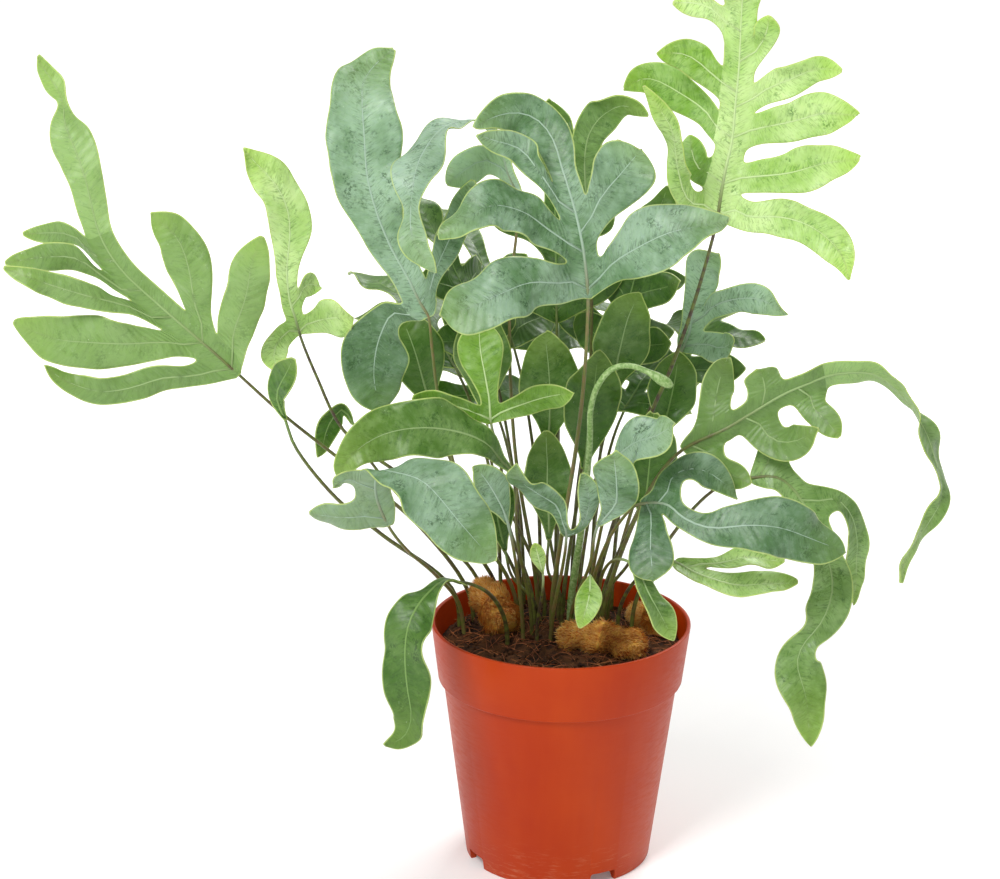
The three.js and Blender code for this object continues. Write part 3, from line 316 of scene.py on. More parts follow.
# Satin plastic: a warm orange-brown with faint upright flow marks, fine scuffs that catch the light,
# and a thin film of dried splashes near the foot.
plastic = Finish("terracotta_plastic")
place = plastic.place()
stretched = plastic.node("Mapping", {"Vector": place, "Scale": (1, 1, 0.12)}).outputs[0]
flow = plastic.noise(stretched, 60, 4)
blotch = plastic.noise(place, 18, 4)
squashed = plastic.node("Mapping", {"Vector": place, "Scale": (1, 1, 6)}).outputs[0]
scuff = plastic.noise(squashed, 140, 5, 0.7)
height = plastic.node("SeparateXYZ", {0: place}).outputs["Z"]
body_tone = plastic.mix(plastic.fade(blotch, 0.3, 0.7), paint("AC3000"), paint("B63A00"))
body_tone = plastic.mix(plastic.fade(flow, 0.35, 0.75, 0, 0.35), body_tone, paint("C04404"))
dust = plastic.math("MULTIPLY", plastic.fade(height, 0.028, 0.0), plastic.fade(scuff, 0.5, 0.75, 0, 0.5))
body_tone = plastic.mix(dust, body_tone, paint("C98A68"))
plastic.set(
    base_color=body_tone,
    roughness=plastic.fade(scuff, 0.35, 0.75, 0.36, 0.52),
    specular_ior_level=0.2,
    subsurface_weight=0.02,
    subsurface_radius=(0.004, 0.0015, 0.0008),
)
plastic.bump(plastic.math("ADD", scuff, plastic.math("MULTIPLY", flow, 2.0)), 0.00006)
pot.data.materials.clear()
pot.data.materials.append(plastic.material)
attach(pot, "root")
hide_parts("pot")


# The soil: peaty brown compost, mounded a little towards the middle and level with the foot of the
# pot's lip, crumbly on top, with coir fibres lying across it.
SOIL_TOP = 105 * MM
SOIL_GAP = 0.5 * MM
SOIL_RING_COUNT = 46
SOIL_SIDES = 200
CRUMB_COUNT = 520
CRUMB_REACH = 54 * MM
FIBRE_COUNT = 420
FIBRE_REACH = 55 * MM
FIBRE_SIDES = 3
FIBRE_STEPS = 5


def smooth(low, high, value):
    """Eases from 0 at low to 1 at high."""
    share = np.clip((value - low) / (high - low), 0, 1)
    return share * share * (3 - 2 * share)


def soil_height(x, y):
    """The soil's surface in metres, with broad lumps."""
    x, y = x / MM, y / MM
    edge = 1 - smooth(40, 56, math.hypot(x, y))
    mound = 2.5 * math.exp(-((x + 6) ** 2 + (y - 18) ** 2) / 900)
    lumps = math.sin(x / 5.1 + 0.8) * math.cos(y / 4.3) + 0.6 * math.sin((x + 2 * y) / 6.7)
    return SOIL_TOP + (mound - 2 + edge * (1 + lumps)) * MM


soil_rim = POT_BAND_FOOT_RADIUS - POT_WALL - SOIL_GAP + 1.4 * MM
soil = turned_wall("potting_mix", [
    (POT_BASE_RADIUS - POT_WALL, POT_FLOOR_TOP + SOIL_GAP),
    (POT_BODY_TOP_RADIUS - POT_WALL - SOIL_GAP, band_foot - 1 * MM),
    (POT_BAND_FOOT_RADIUS - POT_WALL - SOIL_GAP, band_foot + 3 * MM),
    *((soil_rim * (1 - ring / SOIL_RING_COUNT), SOIL_TOP - 1 * MM) for ring in range(SOIL_RING_COUNT)),
], SOIL_SIDES)
for vertex in soil.data.vertices:
    x, y, z = vertex.co
    if z < SOIL_TOP - 2 * MM:
        continue
    away = math.hypot(x, y)
    crumbs = noise.noise(Vector((x, y, 0)) * 210) + 0.7 * noise.noise(Vector((x, y, 4)) * 460)
    crumbs += 0.4 * noise.noise(Vector((x, y, 9)) * 900)
    vertex.co.z = soil_height(x, y) + crumbs * 1.5 * MM * (1 - 0.6 * smooth(50, 57, away / MM))
    drift = noise.noise_vector(Vector((x, y, 2)) * 600)
    vertex.co.x += drift.x * 0.5 * MM * (away < 50 * MM)
    vertex.co.y += drift.y * 0.5 * MM * (away < 50 * MM)


def object_from(made, name):
    """A new object whose mesh is taken from a bmesh."""
    mesh = bpy.data.meshes.new(name)
    made.to_mesh(mesh)
    made.free()
    piece = bpy.data.objects.new(name, mesh)
    bpy.context.scene.collection.objects.link(piece)
    return piece


def strewn(strew, name, seed):
    """A new object that a strewing function fills, drawn from its own seeded chances."""
    made = bmesh.new()
    strew(made, random.Random(seed))
    return object_from(made, name)


def skin_rings(made, rings):
    """Joins rings of vertices into a tube and closes its ends."""
    sides = len(rings[0])
    for low, high in zip(rings, rings[1:]):
        for side in range(sides):
            after = (side + 1) % sides
            made.faces.new((low[side], low[after], high[after], high[side]))
    made.faces.new(rings[0][::-1])
    made.faces.new(rings[-1])


def random_spot(chance, reach):
    angle = chance.random() * math.tau
    away = reach * math.sqrt(chance.random())
    return away * math.cos(angle), away * math.sin(angle)


def strew_crumbs(made, chance):
    """Angular crumbs of compost, pressed into the surface."""
    for _ in range(CRUMB_COUNT):
        x, y = random_spot(chance, CRUMB_REACH)
        size = chance.uniform(0.5, 1.7) * MM
        spot = Matrix.Translation((x, y, soil_height(x, y) + 0.35 * size))
        spin = Quaternion((chance.random(), chance.random(), chance.random()), chance.random() * 6)
        shape = Matrix.Diagonal((1, chance.uniform(0.5, 1), chance.uniform(0.5, 0.9), 1))
        lump = bmesh.ops.create_icosphere(
            made, subdivisions=1, radius=size, matrix=spot @ spin.to_matrix().to_4x4() @ shape)
        for vertex in lump["verts"]:
            vertex.co += noise.noise_vector(vertex.co * 900) * 0.5 * size


def strew_fibres(made, chance):
    """Thin coir fibres that lie across the crumbs in loose curves."""
    for _ in range(FIBRE_COUNT):
        x, y = random_spot(chance, FIBRE_REACH)
        heading = chance.random() * math.tau
        length = chance.uniform(5, 17) * MM
        girth = chance.uniform(0.12, 0.32) * MM
        bow = chance.uniform(-1.6, 1.6)
        lift = chance.uniform(0.2, 2.4) * MM
        rings = []
        for step in range(FIBRE_STEPS + 1):
            share = step / FIBRE_STEPS
            angle = heading + bow * share
            if math.hypot(x, y) > FIBRE_REACH:
                break
            z = soil_height(x, y) + 0.5 * MM + lift * math.sin(math.pi * share)
            across = Vector((-math.sin(angle), math.cos(angle), 0))
            ring = []
            for side in range(FIBRE_SIDES):
                turned = side * math.tau / FIBRE_SIDES
                out = across * math.cos(turned) + Vector((0, 0, 1)) * math.sin(turned)
                ring.append(made.verts.new(Vector((x, y, z)) + out * girth * (1 - 0.7 * share)))
            rings.append(ring)
            x += math.cos(angle) * length / FIBRE_STEPS
            y += math.sin(angle) * length / FIBRE_STEPS
        if len(rings) > 1:
            skin_rings(made, rings)


crumbs = strewn(strew_crumbs, "soil_crumbs", 21)
fibres = strewn(strew_fibres, "coir_fibres", 22)

# Damp peat: dark brown with lighter brown clods and a fine pale grain, dull and rough. The coir is a
# warmer, redder brown.
peat = Finish("damp_peat")
place = peat.place()
grain = peat.noise(place, 900, 6, 0.7)
clods = peat.noise(place, 160, 4)
peat_tone = peat.mix(peat.fade(clods, 0.35, 0.65), paint("2A170E"), paint("5E3A20"))
peat_tone = peat.mix(peat.fade(grain, 0.55, 0.8, 0, 0.7), peat_tone, paint("94602F"))
peat.set(base_color=peat_tone, roughness=0.92, specular_ior_level=0.25)
peat.bump(peat.math("ADD", grain, clods), 0.0006)
coir = Finish("coir_fibre")
strand = coir.noise(coir.place(), 260, 3)
coir.set(base_color=coir.mix(coir.fade(strand, 0.3, 0.7), paint("5E2C14"), paint("B06A3A")), roughness=0.8)
soil.data.materials.append(peat.material)
crumbs.data.materials.append(peat.material)
fibres.data.materials.append(coir.material)
for piece in (soil, crumbs, fibres):
    piece.data.polygons.foreach_set("use_smooth", [piece is soil] * len(piece.data.polygons))
    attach(piece, "root")
    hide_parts("potting_soil")


# The rhizomes: thick knobbly creeping stems, half sunk in the soil. They are furred with narrow golden
# scales that stand out of the skin and lean towards the nearer end, like thatch.
RHIZOME_ROWS = 44
RHIZOME_SIDES = 40
WALK_STEPS = 160
SCALE_LENGTH = 3.1
SCALE_WIDTH = 0.38
SCALES_TO_A_PATCH = 3
BURIED_BELOW = 103
END_TRIM = 0.012
RHIZOMES = [
    dict(
        name="rhizome_left", radius=8.6, taper=0.72, knob=0.1,
        path=[[-24, 3, 108], [-28, 9, 112], [-31, 16, 116], [-35, 22, 119], [-38, 27, 122]],
    ),
    dict(
        name="rhizome_right", radius=5.9, taper=1.18, knob=0.14,
        path=[[-1, -4, 107], [8, -7, 109], [18, -11, 110], [28, -16, 110], [37, -21, 107]],
    ),
    dict(
        name="rhizome_back", radius=5.6, taper=0.9, knob=0.12,
        path=[[47, 6, 106], [45, 14, 109], [41, 22, 109], [35, 29, 106]],
    ),
]


def knot_at(knots, share):
    """The place at a share of the way along a centripetal curve through the knots."""
    last = len(knots) - 1
    index = min(int(last * share), last - 1)
    bit = last * share - index
    one, two = knots[index], knots[index + 1]
    before = knots[index - 1] if index > 0 else 2 * knots[0] - knots[1]
    after = knots[index + 2] if index + 2 <= last else 2 * knots[last] - knots[last - 1]
    gap0, gap1, gap2 = ((b - a).length ** 0.5 for a, b in ((before, one), (one, two), (two, after)))
    gap1 = gap1 if gap1 > 1e-4 else 1
    gap0 = gap0 if gap0 > 1e-4 else gap1
    gap2 = gap2 if gap2 > 1e-4 else gap1
    start = ((one - before) / gap0 - (two - before) / (gap0 + gap1) + (two - one) / gap1) * gap1
    end = ((two - one) / gap1 - (after - one) / (gap1 + gap2) + (after - two) / gap2) * gap1
    return (
        one + start * bit + (3 * (two - one) - 2 * start - end) * bit ** 2
        + (2 * (one - two) + start + end) * bit ** 3
    )


def walk(knots, low, high, shares):
    """Places, directions and lengths at even shares of the length of one stretch of the curve."""
    count = WALK_STEPS
    places = [knot_at(knots, low + (high - low) * index / count) for index in range(count + 1)]
    lengths = [0.0]
    for index in range(1, count + 1):
        lengths.append(lengths[-1] + (places[index] - places[index - 1]).length)
    found = []
    index = 1
    for share in shares:
        wanted = share * lengths[-1]
        while index < count and lengths[index] < wanted:
            index += 1
        part = (wanted - lengths[index - 1]) / (lengths[index] - lengths[index - 1])
        place = places[index - 1].lerp(places[index], part)
        direction = (places[min(index + 1, count)] - places[max(index - 2, 0)]).normalized()
        found.append((place, direction, wanted))
    return found


def vectors(places):
    return [Vector(place) for place in places]


def rhizome_skin(shape):
    """Rings of places round a rhizome, with the outward direction at each, in millimetres."""
    rows = range(RHIZOME_ROWS)
    shares = [END_TRIM + (1 - 2 * END_TRIM) * row / (RHIZOME_ROWS - 1) for row in rows]
    rings = []
    for share, (centre, along, _) in zip(shares, walk(vectors(shape["path"]), 0, 1, shares)):
        across = Vector((0, 0, 1)).cross(along).normalized()
        lift = along.cross(across)
        roundness = math.sqrt(1 - abs(2 * share - 1) ** 6)
        girth = shape["radius"] * roundness * (1 + (shape["taper"] - 1) * share)
        ring = []
        for side in range(RHIZOME_SIDES):
            angle = side * math.tau / RHIZOME_SIDES
            out = across * math.cos(angle) + lift * math.sin(angle)
            phase = 10 * share
            bump = math.sin(3 * angle + 2.1 * phase) + math.cos(2 * angle - 1.7 * phase)
            bump += 1.1 * noise.noise((centre + out * girth) / 5)
            ring.append((centre + out * girth * (1 + shape["knob"] * roundness * bump), out, along, share))
        rings.append(ring)
    return rings


def make_rhizome(shape, seed):
    """A rhizome with its scales. The map "ripe" is 0 on its skin, and above 1 on the scales."""
    chance = random.Random(seed)
    rings = rhizome_skin(shape)
    made = bmesh.new()
    tone = made.verts.layers.float.new("ripe")
    skin_rings(made, [[made.verts.new(place * MM) for place, _, _, _ in ring] for ring in rings])
    patches = itertools.product(range(1, RHIZOME_ROWS - 1), range(RHIZOME_SIDES), range(SCALES_TO_A_PATCH))
    for row, side, _ in patches:
        place, out, along, share = rings[row][side]
        other = rings[row + 1][(side + 1) % RHIZOME_SIDES][0]
        root = place.lerp(other, chance.random())
        if root.z < BURIED_BELOW:
            continue
        stray = along.cross(out) * chance.uniform(-0.7, 0.7)
        lean = (along * (1 if share > 0.5 else -1) * 0.8 + out * chance.uniform(0.5, 1.5) + stray)
        lean.normalize()
        width = along.cross(lean).normalized() * SCALE_WIDTH * chance.uniform(0.6, 1.1)
        length = SCALE_LENGTH * chance.uniform(0.55, 1.15)
        middle = root + lean * length * 0.5 - out * 0.1
        tip = root + (lean - out * 0.15) * length
        ripe = chance.random()
        corners = [root - width * 0.6, root + width * 0.6, middle + width * 0.5, middle - width * 0.5, tip]
        points = [made.verts.new(corner * MM) for corner in corners]
        for point in points:
            point[tone] = 1 + ripe
        points[4][tone] = 2.4 + ripe
        made.faces.new(points[:4])
        made.faces.new((points[3], points[2], points[4]))
    made.normal_update()
    piece = object_from(made, shape["name"] + "_furred")
    piece.data.polygons.foreach_set("use_smooth", [True] * len(piece.data.polygons))
    return piece


# Rhizome fur: amber and rust scales with pale straw tips, over a red-brown and golden skin.
fur = Finish("rhizome_fur")
ripe = fur.node("Attribute", {}, attribute_name="ripe").outputs["Fac"]
patch = fur.noise(fur.place(), 240, 4)
skin_tone = fur.mix(fur.fade(patch, 0.35, 0.7), paint("A8621C"), paint("DDB04A"))
scale_tone = fur.mix(fur.fade(ripe, 1.0, 2.0), paint("CC7A1E"), paint("EFC060"))
scale_tone = fur.mix(fur.fade(ripe, 2.2, 3.4), scale_tone, paint("FBEDBC"))
scale_tone = fur.mix(fur.fade(patch, 0.35, 0.7, 0.4, 0), scale_tone, paint("B0561A"))
fur.set(
    base_color=fur.mix(fur.math("GREATER_THAN", ripe, 0.999), skin_tone, scale_tone),
    roughness=0.7,
    subsurface_weight=0.15,
    subsurface_radius=(0.002, 0.001, 0.0005),
)
for order, shape in enumerate(RHIZOMES):
    rhizome = make_rhizome(shape, 31 + order)
    rhizome.data.materials.append(fur.material)
    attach(rhizome, "root")
    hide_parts(shape["name"])


# The fronds: each a wiry stem, a midrib, and one thin leathery blade cut into waved lobes, whose
# edges turn up and down. The lobes join along the midrib in a wing. Millimetres in this section.
FOOT = 94
STEM_RADIUS = 0.95
STEM_STEPS = 30
STEM_SIDES = 8
MIDRIB_SHARE = 0.8
SIDE_RIB_RADIUS = 0.5
SIDE_RIB_SIDES = 6
WING_WIDTH = 5
WING_START = (0.4, 0.75, 1)
WING_CLEARANCE = 1.1
WING_KEEL = 0.3
BLADE_KEEL = 0.8
BLADE_FADE = 2.3
BLADE_THICKNESS = 0.42
PINCH_REACH = 0.09
NO_PINCH = (0, 0)
BASE_REACH = 0.45
LEAST_OUTWARD = 0.5
WAVE_LENGTH = 34
WAVE_LIMIT = 2.6
WAVE_SHARE = 0.11
WAVE_OFFSET = 2.2
FROND_PHASE = 1.9
LOBE_PHASE = 2.4
TIP_PHASE = 5.1
SCALLOP_LENGTH = 27
SCALLOP_DEPTH = 0.05
TIP_POINT_WIDTH = 1.4
RUFFLE_LENGTH = 13
RUFFLE_HEIGHT = 1.5
RUFFLE_REACH = 6
ROW_STEP = 4.6
ROW_CROWDING = 1.25
COLUMNS = (-1, -0.5, 0, 0.5, 1)
# Blades that give no light of their own, the inner ones and those behind, take this low light: painted shade
# for the shadow inside the plant.
INNER_LIGHT_WITH_PAINTED_SHADE = 0.22
LIGHT_SPREAD = 0.09
INNER_FACE = [0.05, -0.95, 0.15]
STALK_SLOT = 3


def lobe(at, width, path, **more):
    return dict(at=at, width=width, path=path, **more)


# The stem's first place is its foot in the soil, the spine is the stretch that carries lobes, in
# even steps, and the tip is the end lobe. A lobe's at is the step that it starts from. The light is
# how light a blade is, from 0 to 1: partly its own tone, and partly painted shade, lower for blades
# that stand in shadow. A pinch is where it is rolled narrow, and by how much.
FRONDS = [
    dict(
        name="frond_far_left", colour="green", light=0.22, tip_light=0.6, face=[-0.3, 0.93, 0.1],
        width=19, fade=1.7, pinch=[0.72, 0.75], wing=6, steps=10,
        stem=[[-40, 27, FOOT], [-43, 26, 118], [-64, 17, 152], [-92, 8, 181], [-127, 0, 213],
            [-146, -8, 234]],
        spine=[[-159, -10, 247], [-178, -10, 264], [-197, -8, 282], [-206, -5, 296]],
        tip=[[-209, -3, 306], [-212, 0, 320], [-217, 4, 333], [-222, 8, 345], [-222, 10, 354],
            [-228, 12, 363], [-234, 13, 372]],
        lobes=[
            lobe(0, 13, [[-163, -13, 235], [-178, -17, 235], [-193, -21, 231], [-206, -23, 230],
                [-221, -24, 235], [-230, -24, 242]]),
            lobe(0, 19, [[-147, -13, 256], [-141, -17, 273], [-138, -19, 288], [-133, -20, 300]],
                light=0.35),
            lobe(2, 24, [[-177, -15, 251], [-192, -19, 251], [-207, -22, 252], [-225, -23, 254],
                [-243, -22, 261]]),
            lobe(2, 20, [[-165, -10, 269], [-167, -8, 283], [-172, -6, 296], [-184, -4, 306]]),
            lobe(4, 12, [[-192, -15, 267], [-205, -22, 272], [-221, -27, 278], [-245, -29, 287]]),
            lobe(6, 12, [[-206, -11, 281], [-216, -12, 288], [-230, -12, 288], [-248, -7, 284]]),
            lobe(8, 10, [[-215, -2, 295], [-228, 5, 295], [-243, 10, 293]]),
        ],
    ),
    dict(
        name="frond_left_bright", colour="lime", light=0.85, face=[0.2, -0.85, 0.5], width=21, wing=4,
        steps=5,
        stem=[[-26, 38, FOOT], [-31, 37, 120], [-66, 28, 168], [-100, 18, 199], [-113, 16, 227],
            [-120, 15, 246]],
        spine=[[-122, 15, 254], [-125, 16, 265]],
        tip=[[-126, 17, 276], [-124, 19, 290], [-125, 22, 302], [-130, 24, 313], [-138, 24, 322],
            [-145, 22, 330]],
        lobes=[
            lobe(0, 20, [[-113, 11, 253], [-105, 5, 257], [-95, 0, 258]], fade=5),
            lobe(0, 13, [[-127, 8, 248], [-131, 2, 242], [-128, -4, 234]]),
            lobe(3, 12, [[-120, 19, 267], [-115, 23, 268], [-110, 26, 266]]),
        ],
    ),
    dict(
        name="leaf_left_folded", colour="dark", light=0.4, face=[0.5, -0.7, 0.2], aim=[-0.5, -0.8, 0.2],
        width=15, radius=1,
        stem=[[-47, 19, FOOT], [-50, 17, 122], [-83, 3, 155], [-103, -5, 175], [-121, -10, 201],
            [-125, -12, 214]],
        tip=[[-129, -14, 226], [-125, -19, 236], [-120, -22, 246]],
    ),
    dict(
        name="frond_tall_left", colour="blue", light=0.55, face=[0.1, -0.97, 0.15], width=33, wing=7,
        steps=4,
        stem=[[-19, 25, FOOT], [-22, 24, 120], [-42, 16, 160], [-56, 4, 215], [-60, -5, 250],
            [-61, -8, 261]],
        spine=[[-65, -8, 268], [-70, -9, 279]],
        tip=[[-78, -10, 294], [-84, -11, 310], [-88, -10, 326], [-89, -8, 341], [-90, -5, 354],
            [-90, 0, 364], [-85, 8, 371], [-77, 13, 377]],
        lobes=[
            lobe(0, 31, [[-75, -2, 264], [-81, 1, 255], [-85, 3, 243], [-86, 4, 228], [-83, 5, 213]],
                wave=2.4, aim=[0, -0.9, 0.3], light=0.1),
            lobe(1, 14, [[-54, 0, 290], [-47, 8, 305], [-42, 12, 319]]),
        ],
    ),
    dict(
        name="frond_curled_strap", colour="blue", light=0.75, face=[0.6, 0.5, 0.3], width=22,
        pinch=[0.74, 0.5], wing=4, steps=6,
        stem=[[-10, 29, FOOT], [-11, 28, 120], [-22, 29, 189], [-25, 31, 260], [-22, 32, 300]],
        spine=[[-27, 30, 324], [-33, 25, 339]],
        tip=[[-43, 17, 346], [-53, 8, 345], [-61, -6, 340], [-66, -19, 332], [-68, -28, 321],
            [-69, -32, 310], [-67, -34, 301], [-62, -35, 294], [-57, -34, 288]],
        lobes=[
            lobe(2, 16, [[-35, 33, 325], [-44, 34, 320], [-54, 30, 313]], aim=[0.1, 0.9, -0.3]),
        ],
    ),
    dict(
        name="leaf_arch_left", colour="green", light=0.3, face=[0.85, -0.5, 0], width=26, wave=2.8,
        radius=0.9,
        stem=[[-13, 6, FOOT], [-14, 4, 118], [-21, -8, 160], [-22, -15, 190]],
        tip=[[-28, -21, 198], [-35, -28, 209], [-49, -35, 217], [-65, -41, 220], [-80, -45, 218],
            [-92, -48, 211], [-100, -50, 200]],
    ),
    dict(
        name="leaf_left_behind", colour="dark", light=0.35, face=[0.5, -0.6, 0.5], width=12, radius=0.9,
        stem=[[-35, 34, FOOT], [-39, 34, 122], [-70, 34, 156], [-92, 35, 184], [-97, 34, 198]],
        tip=[[-101, 31, 207], [-107, 27, 201], [-112, 23, 185]],
    ),
    dict(
        name="frond_front_left", colour="blue", light=0.28, face=[-0.25, 0.9, 0.3],
        aim=[-0.3, -0.75, 0.6], width=31, wave=3, keel=1.6, wing=7, steps=4,
        stem=[[-44, 8, FOOT], [-47, 4, 120], [-58, -14, 142], [-70, -32, 160], [-78, -44, 176]],
        spine=[[-83, -54, 194], [-81, -67, 208]],
        tip=[[-73, -80, 213], [-62, -88, 212], [-54, -92, 205], [-46, -93, 195], [-38, -92, 185],
            [-31, -90, 176]],
        lobes=[
            lobe(0, 15, [[-85, -50, 186], [-94, -50, 182], [-112, -48, 183]]),
            lobe(2, 11, [[-95, -68, 205], [-100, -70, 201]]),
        ],
    ),
    dict(
        name="frond_three_lobed", colour="lime", light=0.08, face=[0, -0.9, 0.4], width=21, wing=4,
        steps=3,
        stem=[[-12, 17, FOOT], [-13, 15, 120], [-25, 8, 160], [-29, -4, 195], [-33, -14, 214]],
        spine=[[-34, -15, 227]],
        tip=[[-36, -12, 237], [-38, -8, 246], [-39, -2, 260]],
        lobes=[
            lobe(0, 12, [[-44, -18, 222], [-54, -22, 225], [-68, -27, 230]]),
            lobe(0, 14, [[-22, -19, 223], [-12, -24, 228], [4, -30, 234]]),
        ],
    ),
    dict(
        name="frond_centre", colour="blue", light=0.5, tip_light=0.3, face=[0, -0.95, 0.3], width=19,
        wave=2, radius=1.1, wing=6, steps=6,
        stem=[[-4, 13, FOOT], [-4, 12, 118], [-1, 2, 150], [5, -12, 200], [8, -20, 236], [9, -25, 275]],
        spine=[[8, -28, 286], [6, -29, 300], [3, -28, 313], [-1, -26, 326]],
        tip=[[-4, -21, 334], [-7, -14, 343], [-14, -10, 351], [-23, -11, 354], [-34, -15, 352],
            [-41, -19, 348]],
        lobes=[
            lobe(0, 27, [[-4, -35, 284], [-17, -45, 287], [-29, -53, 284], [-42, -58, 279],
                [-54, -60, 275]], aim=[-0.1, -0.8, 0.6], wave=3.4, fade=5),
            lobe(0, 30, [[19, -34, 293], [30, -41, 302], [43, -46, 310], [55, -48, 313], [68, -46, 315]],
                aim=[0.1, -0.8, 0.6], wave=3, fade=1.3),
            lobe(2, 22, [[-6, -31, 305], [-20, -40, 317], [-33, -46, 321], [-44, -50, 316],
                [-56, -50, 308]], aim=[-0.1, -0.75, 0.65], wave=3.4),
            lobe(3, 28, [[13, -27, 320], [22, -25, 330], [31, -23, 341]], wave=3, fade=5),
            lobe(4, 13, [[-8, -30, 327], [-15, -29, 334], [-21, -25, 341], [-31, -26, 344],
                [-40, -29, 348]], wave=1.6),
        ],
    ),
    dict(
        name="frond_upper_right", colour="lime", light=0.74, face=[0.1, -0.9, 0.4], width=26, radius=1.1,
        wing=7, steps=14,
        stem=[[14, 23, FOOT], [16, 22, 120], [28, 17, 170], [40, 16, 210], [48, 18, 229], [59, 22, 262],
            [68, 25, 298]],
        spine=[[69, 26, 305], [71, 28, 319], [74, 30, 334], [75, 30, 350], [76, 29, 368], [76, 27, 384],
            [76, 25, 394]],
        tip=[[76, 22, 403], [75, 15, 413], [75, 6, 424]],
        lobes=[
            lobe(0, 18, [[80, 22, 301], [95, 14, 303], [110, 5, 300], [122, -2, 289], [125, -5, 279]]),
            lobe(0, 12, [[56, 20, 307], [48, 9, 327], [45, 4, 344], [38, 2, 355], [33, 2, 364]],
                aim=[-0.6, -0.7, 0.4], light=0.6),
            lobe(2, 20, [[85, 25, 319], [100, 19, 322], [114, 12, 328], [129, 7, 331]], light=0.6),
            lobe(2, 14, [[60, 30, 320], [57, 37, 326], [56, 43, 334]], light=0.15),
            lobe(5, 20, [[87, 27, 341], [101, 21, 345], [113, 14, 350], [127, 9, 349]]),
            lobe(5, 18, [[63, 37, 346], [50, 41, 354], [36, 42, 360], [25, 39, 356]], light=0.25),
            lobe(7, 15, [[88, 28, 358], [98, 23, 363], [108, 17, 369], [120, 13, 369]]),
            lobe(8, 16, [[65, 30, 364], [53, 27, 373], [39, 25, 375]], light=0.4),
            lobe(10, 13, [[84, 26, 377], [87, 23, 384], [88, 20, 392]]),
            lobe(12, 12, [[66, 30, 393], [57, 33, 395], [46, 34, 395]]),
        ],
    ),
    dict(
        name="frond_blue_right", colour="blue", light=1.0, face=[-0.2, -0.8, 0.5], width=19, wing=5,
        steps=4,
        stem=[[22, 27, FOOT], [24, 28, 120], [41, 38, 185], [51, 45, 219], [55, 46, 231]],
        spine=[[59, 47, 241], [60, 47, 253]],
        tip=[[63, 44, 264], [64, 38, 275], [70, 32, 282]],
        lobes=[
            lobe(0, 16, [[66, 41, 237], [72, 34, 236], [77, 28, 242]]),
            lobe(2, 14, [[68, 42, 254], [78, 33, 260], [89, 24, 262], [101, 16, 258]]),
        ],
    ),
    dict(
        name="frond_right", colour="green", light=0.14, tip_light=0.6, face=[0.2, 0.9, 0.35],
        aim=[0.8, -0.45, 0.3], width=17, wave=2, pinch=[0.73, 0.4], radius=1.1, wing=6, steps=8,
        stem=[[18, 9, FOOT], [20, 8, 118], [30, 2, 155], [42, -6, 186], [53, -13, 202]],
        spine=[[68, -15, 211], [84, -13, 220], [100, -10, 229], [116, -7, 235]],
        tip=[[124, -4, 236], [137, -2, 236], [150, -1, 228], [161, -1, 213], [169, -3, 195],
            [171, -8, 179], [166, -13, 168], [157, -17, 158], [153, -20, 142]],
        lobes=[
            lobe(1, 15, [[67, -13, 224], [69, -6, 233], [73, 0, 242]]),
            lobe(0, 14, [[66, -17, 198], [74, -22, 194], [83, -27, 191]]),
            lobe(3, 17, [[91, -16, 209], [101, -23, 209], [112, -28, 217]], fade=1.5),
            lobe(4, 16, [[89, -11, 232], [86, -9, 239]], fade=5),
            lobe(6, 13, [[110, -11, 222], [116, -17, 218], [122, -21, 211]]),
        ],
    ),
    dict(
        name="frond_front_right", colour="blue", light=0.24, face=[0, -0.8, 0.6], width=27, wave=2.8,
        wing=5, steps=4,
        stem=[[10, 10, FOOT], [12, 7, 118], [18, -12, 152], [25, -26, 172], [33, -36, 184]],
        spine=[[45, -42, 186], [52, -49, 182]],
        tip=[[63, -56, 180], [78, -60, 183], [93, -60, 182], [109, -56, 175], [123, -50, 167]],
        lobes=[
            lobe(0, 21, [[38, -46, 180], [37, -54, 170], [39, -60, 156]], fade=4),
            lobe(1, 16, [[47, -37, 198], [57, -36, 201], [67, -35, 197], [77, -35, 187]], fade=1.6),
        ],
    ),
    dict(
        name="frond_low_right", colour="lime", light=0.72, face=[0.2, -0.5, 0.85], width=17, wing=5,
        steps=4,
        stem=[[26, 10, FOOT], [28, 7, 120], [38, -8, 142], [50, -22, 152]],
        spine=[[57, -26, 150], [65, -30, 148]],
        tip=[[77, -34, 146], [90, -38, 148], [104, -42, 150]],
        lobes=[
            lobe(1, 14, [[70, -24, 153], [82, -22, 155], [100, -20, 152]]),
        ],
    ),
    dict(
        name="frond_hanging_right", colour="green", light=0.62, face=[-0.1, -0.8, 0.55],
        aim=[0, -0.9, 0.3], width=24, pinch=[0.52, 0.55], wing=6, steps=5,
        stem=[[33, 10, FOOT], [35, 8, 122], [53, 2, 160], [70, -6, 182], [84, -10, 188]],
        spine=[[98, -14, 189], [113, -19, 170]],
        tip=[[119, -26, 155], [121, -32, 143], [116, -37, 129], [108, -40, 120], [105, -42, 112],
            [109, -46, 98], [112, -50, 74]],
        lobes=[
            lobe(0, 14, [[93, -5, 199], [102, 2, 203], [112, 6, 199]]),
            lobe(3, 12, [[121, -16, 181], [132, -11, 168], [135, -8, 145], [133, -9, 127]]),
        ],
    ),
    dict(
        name="leaf_folded_pale", colour="blue", light=0.7, face=[-0.2, -0.7, 0.6], aim=[0.3, -0.6, 0.8],
        width=25, wave=3.6, fade=4, radius=0.9,
        stem=[[12, 17, FOOT], [13, 14, 120], [17, -8, 160], [20, -24, 184], [21, -30, 200]],
        tip=[[26, -36, 209], [32, -42, 216], [38, -47, 219], [47, -50, 225]],
    ),
    dict(
        name="leaf_upright_small", colour="blue", light=0.5, face=[0, -1, 0.2], width=21, keel=1.6,
        fade=4, radius=0.9,
        stem=[[3, 5, FOOT], [5, 2, 118], [12, -22, 150], [15, -36, 174]],
        tip=[[22, -44, 185], [22, -50, 195], [21, -54, 206], [20, -56, 215]],
    ),
    dict(
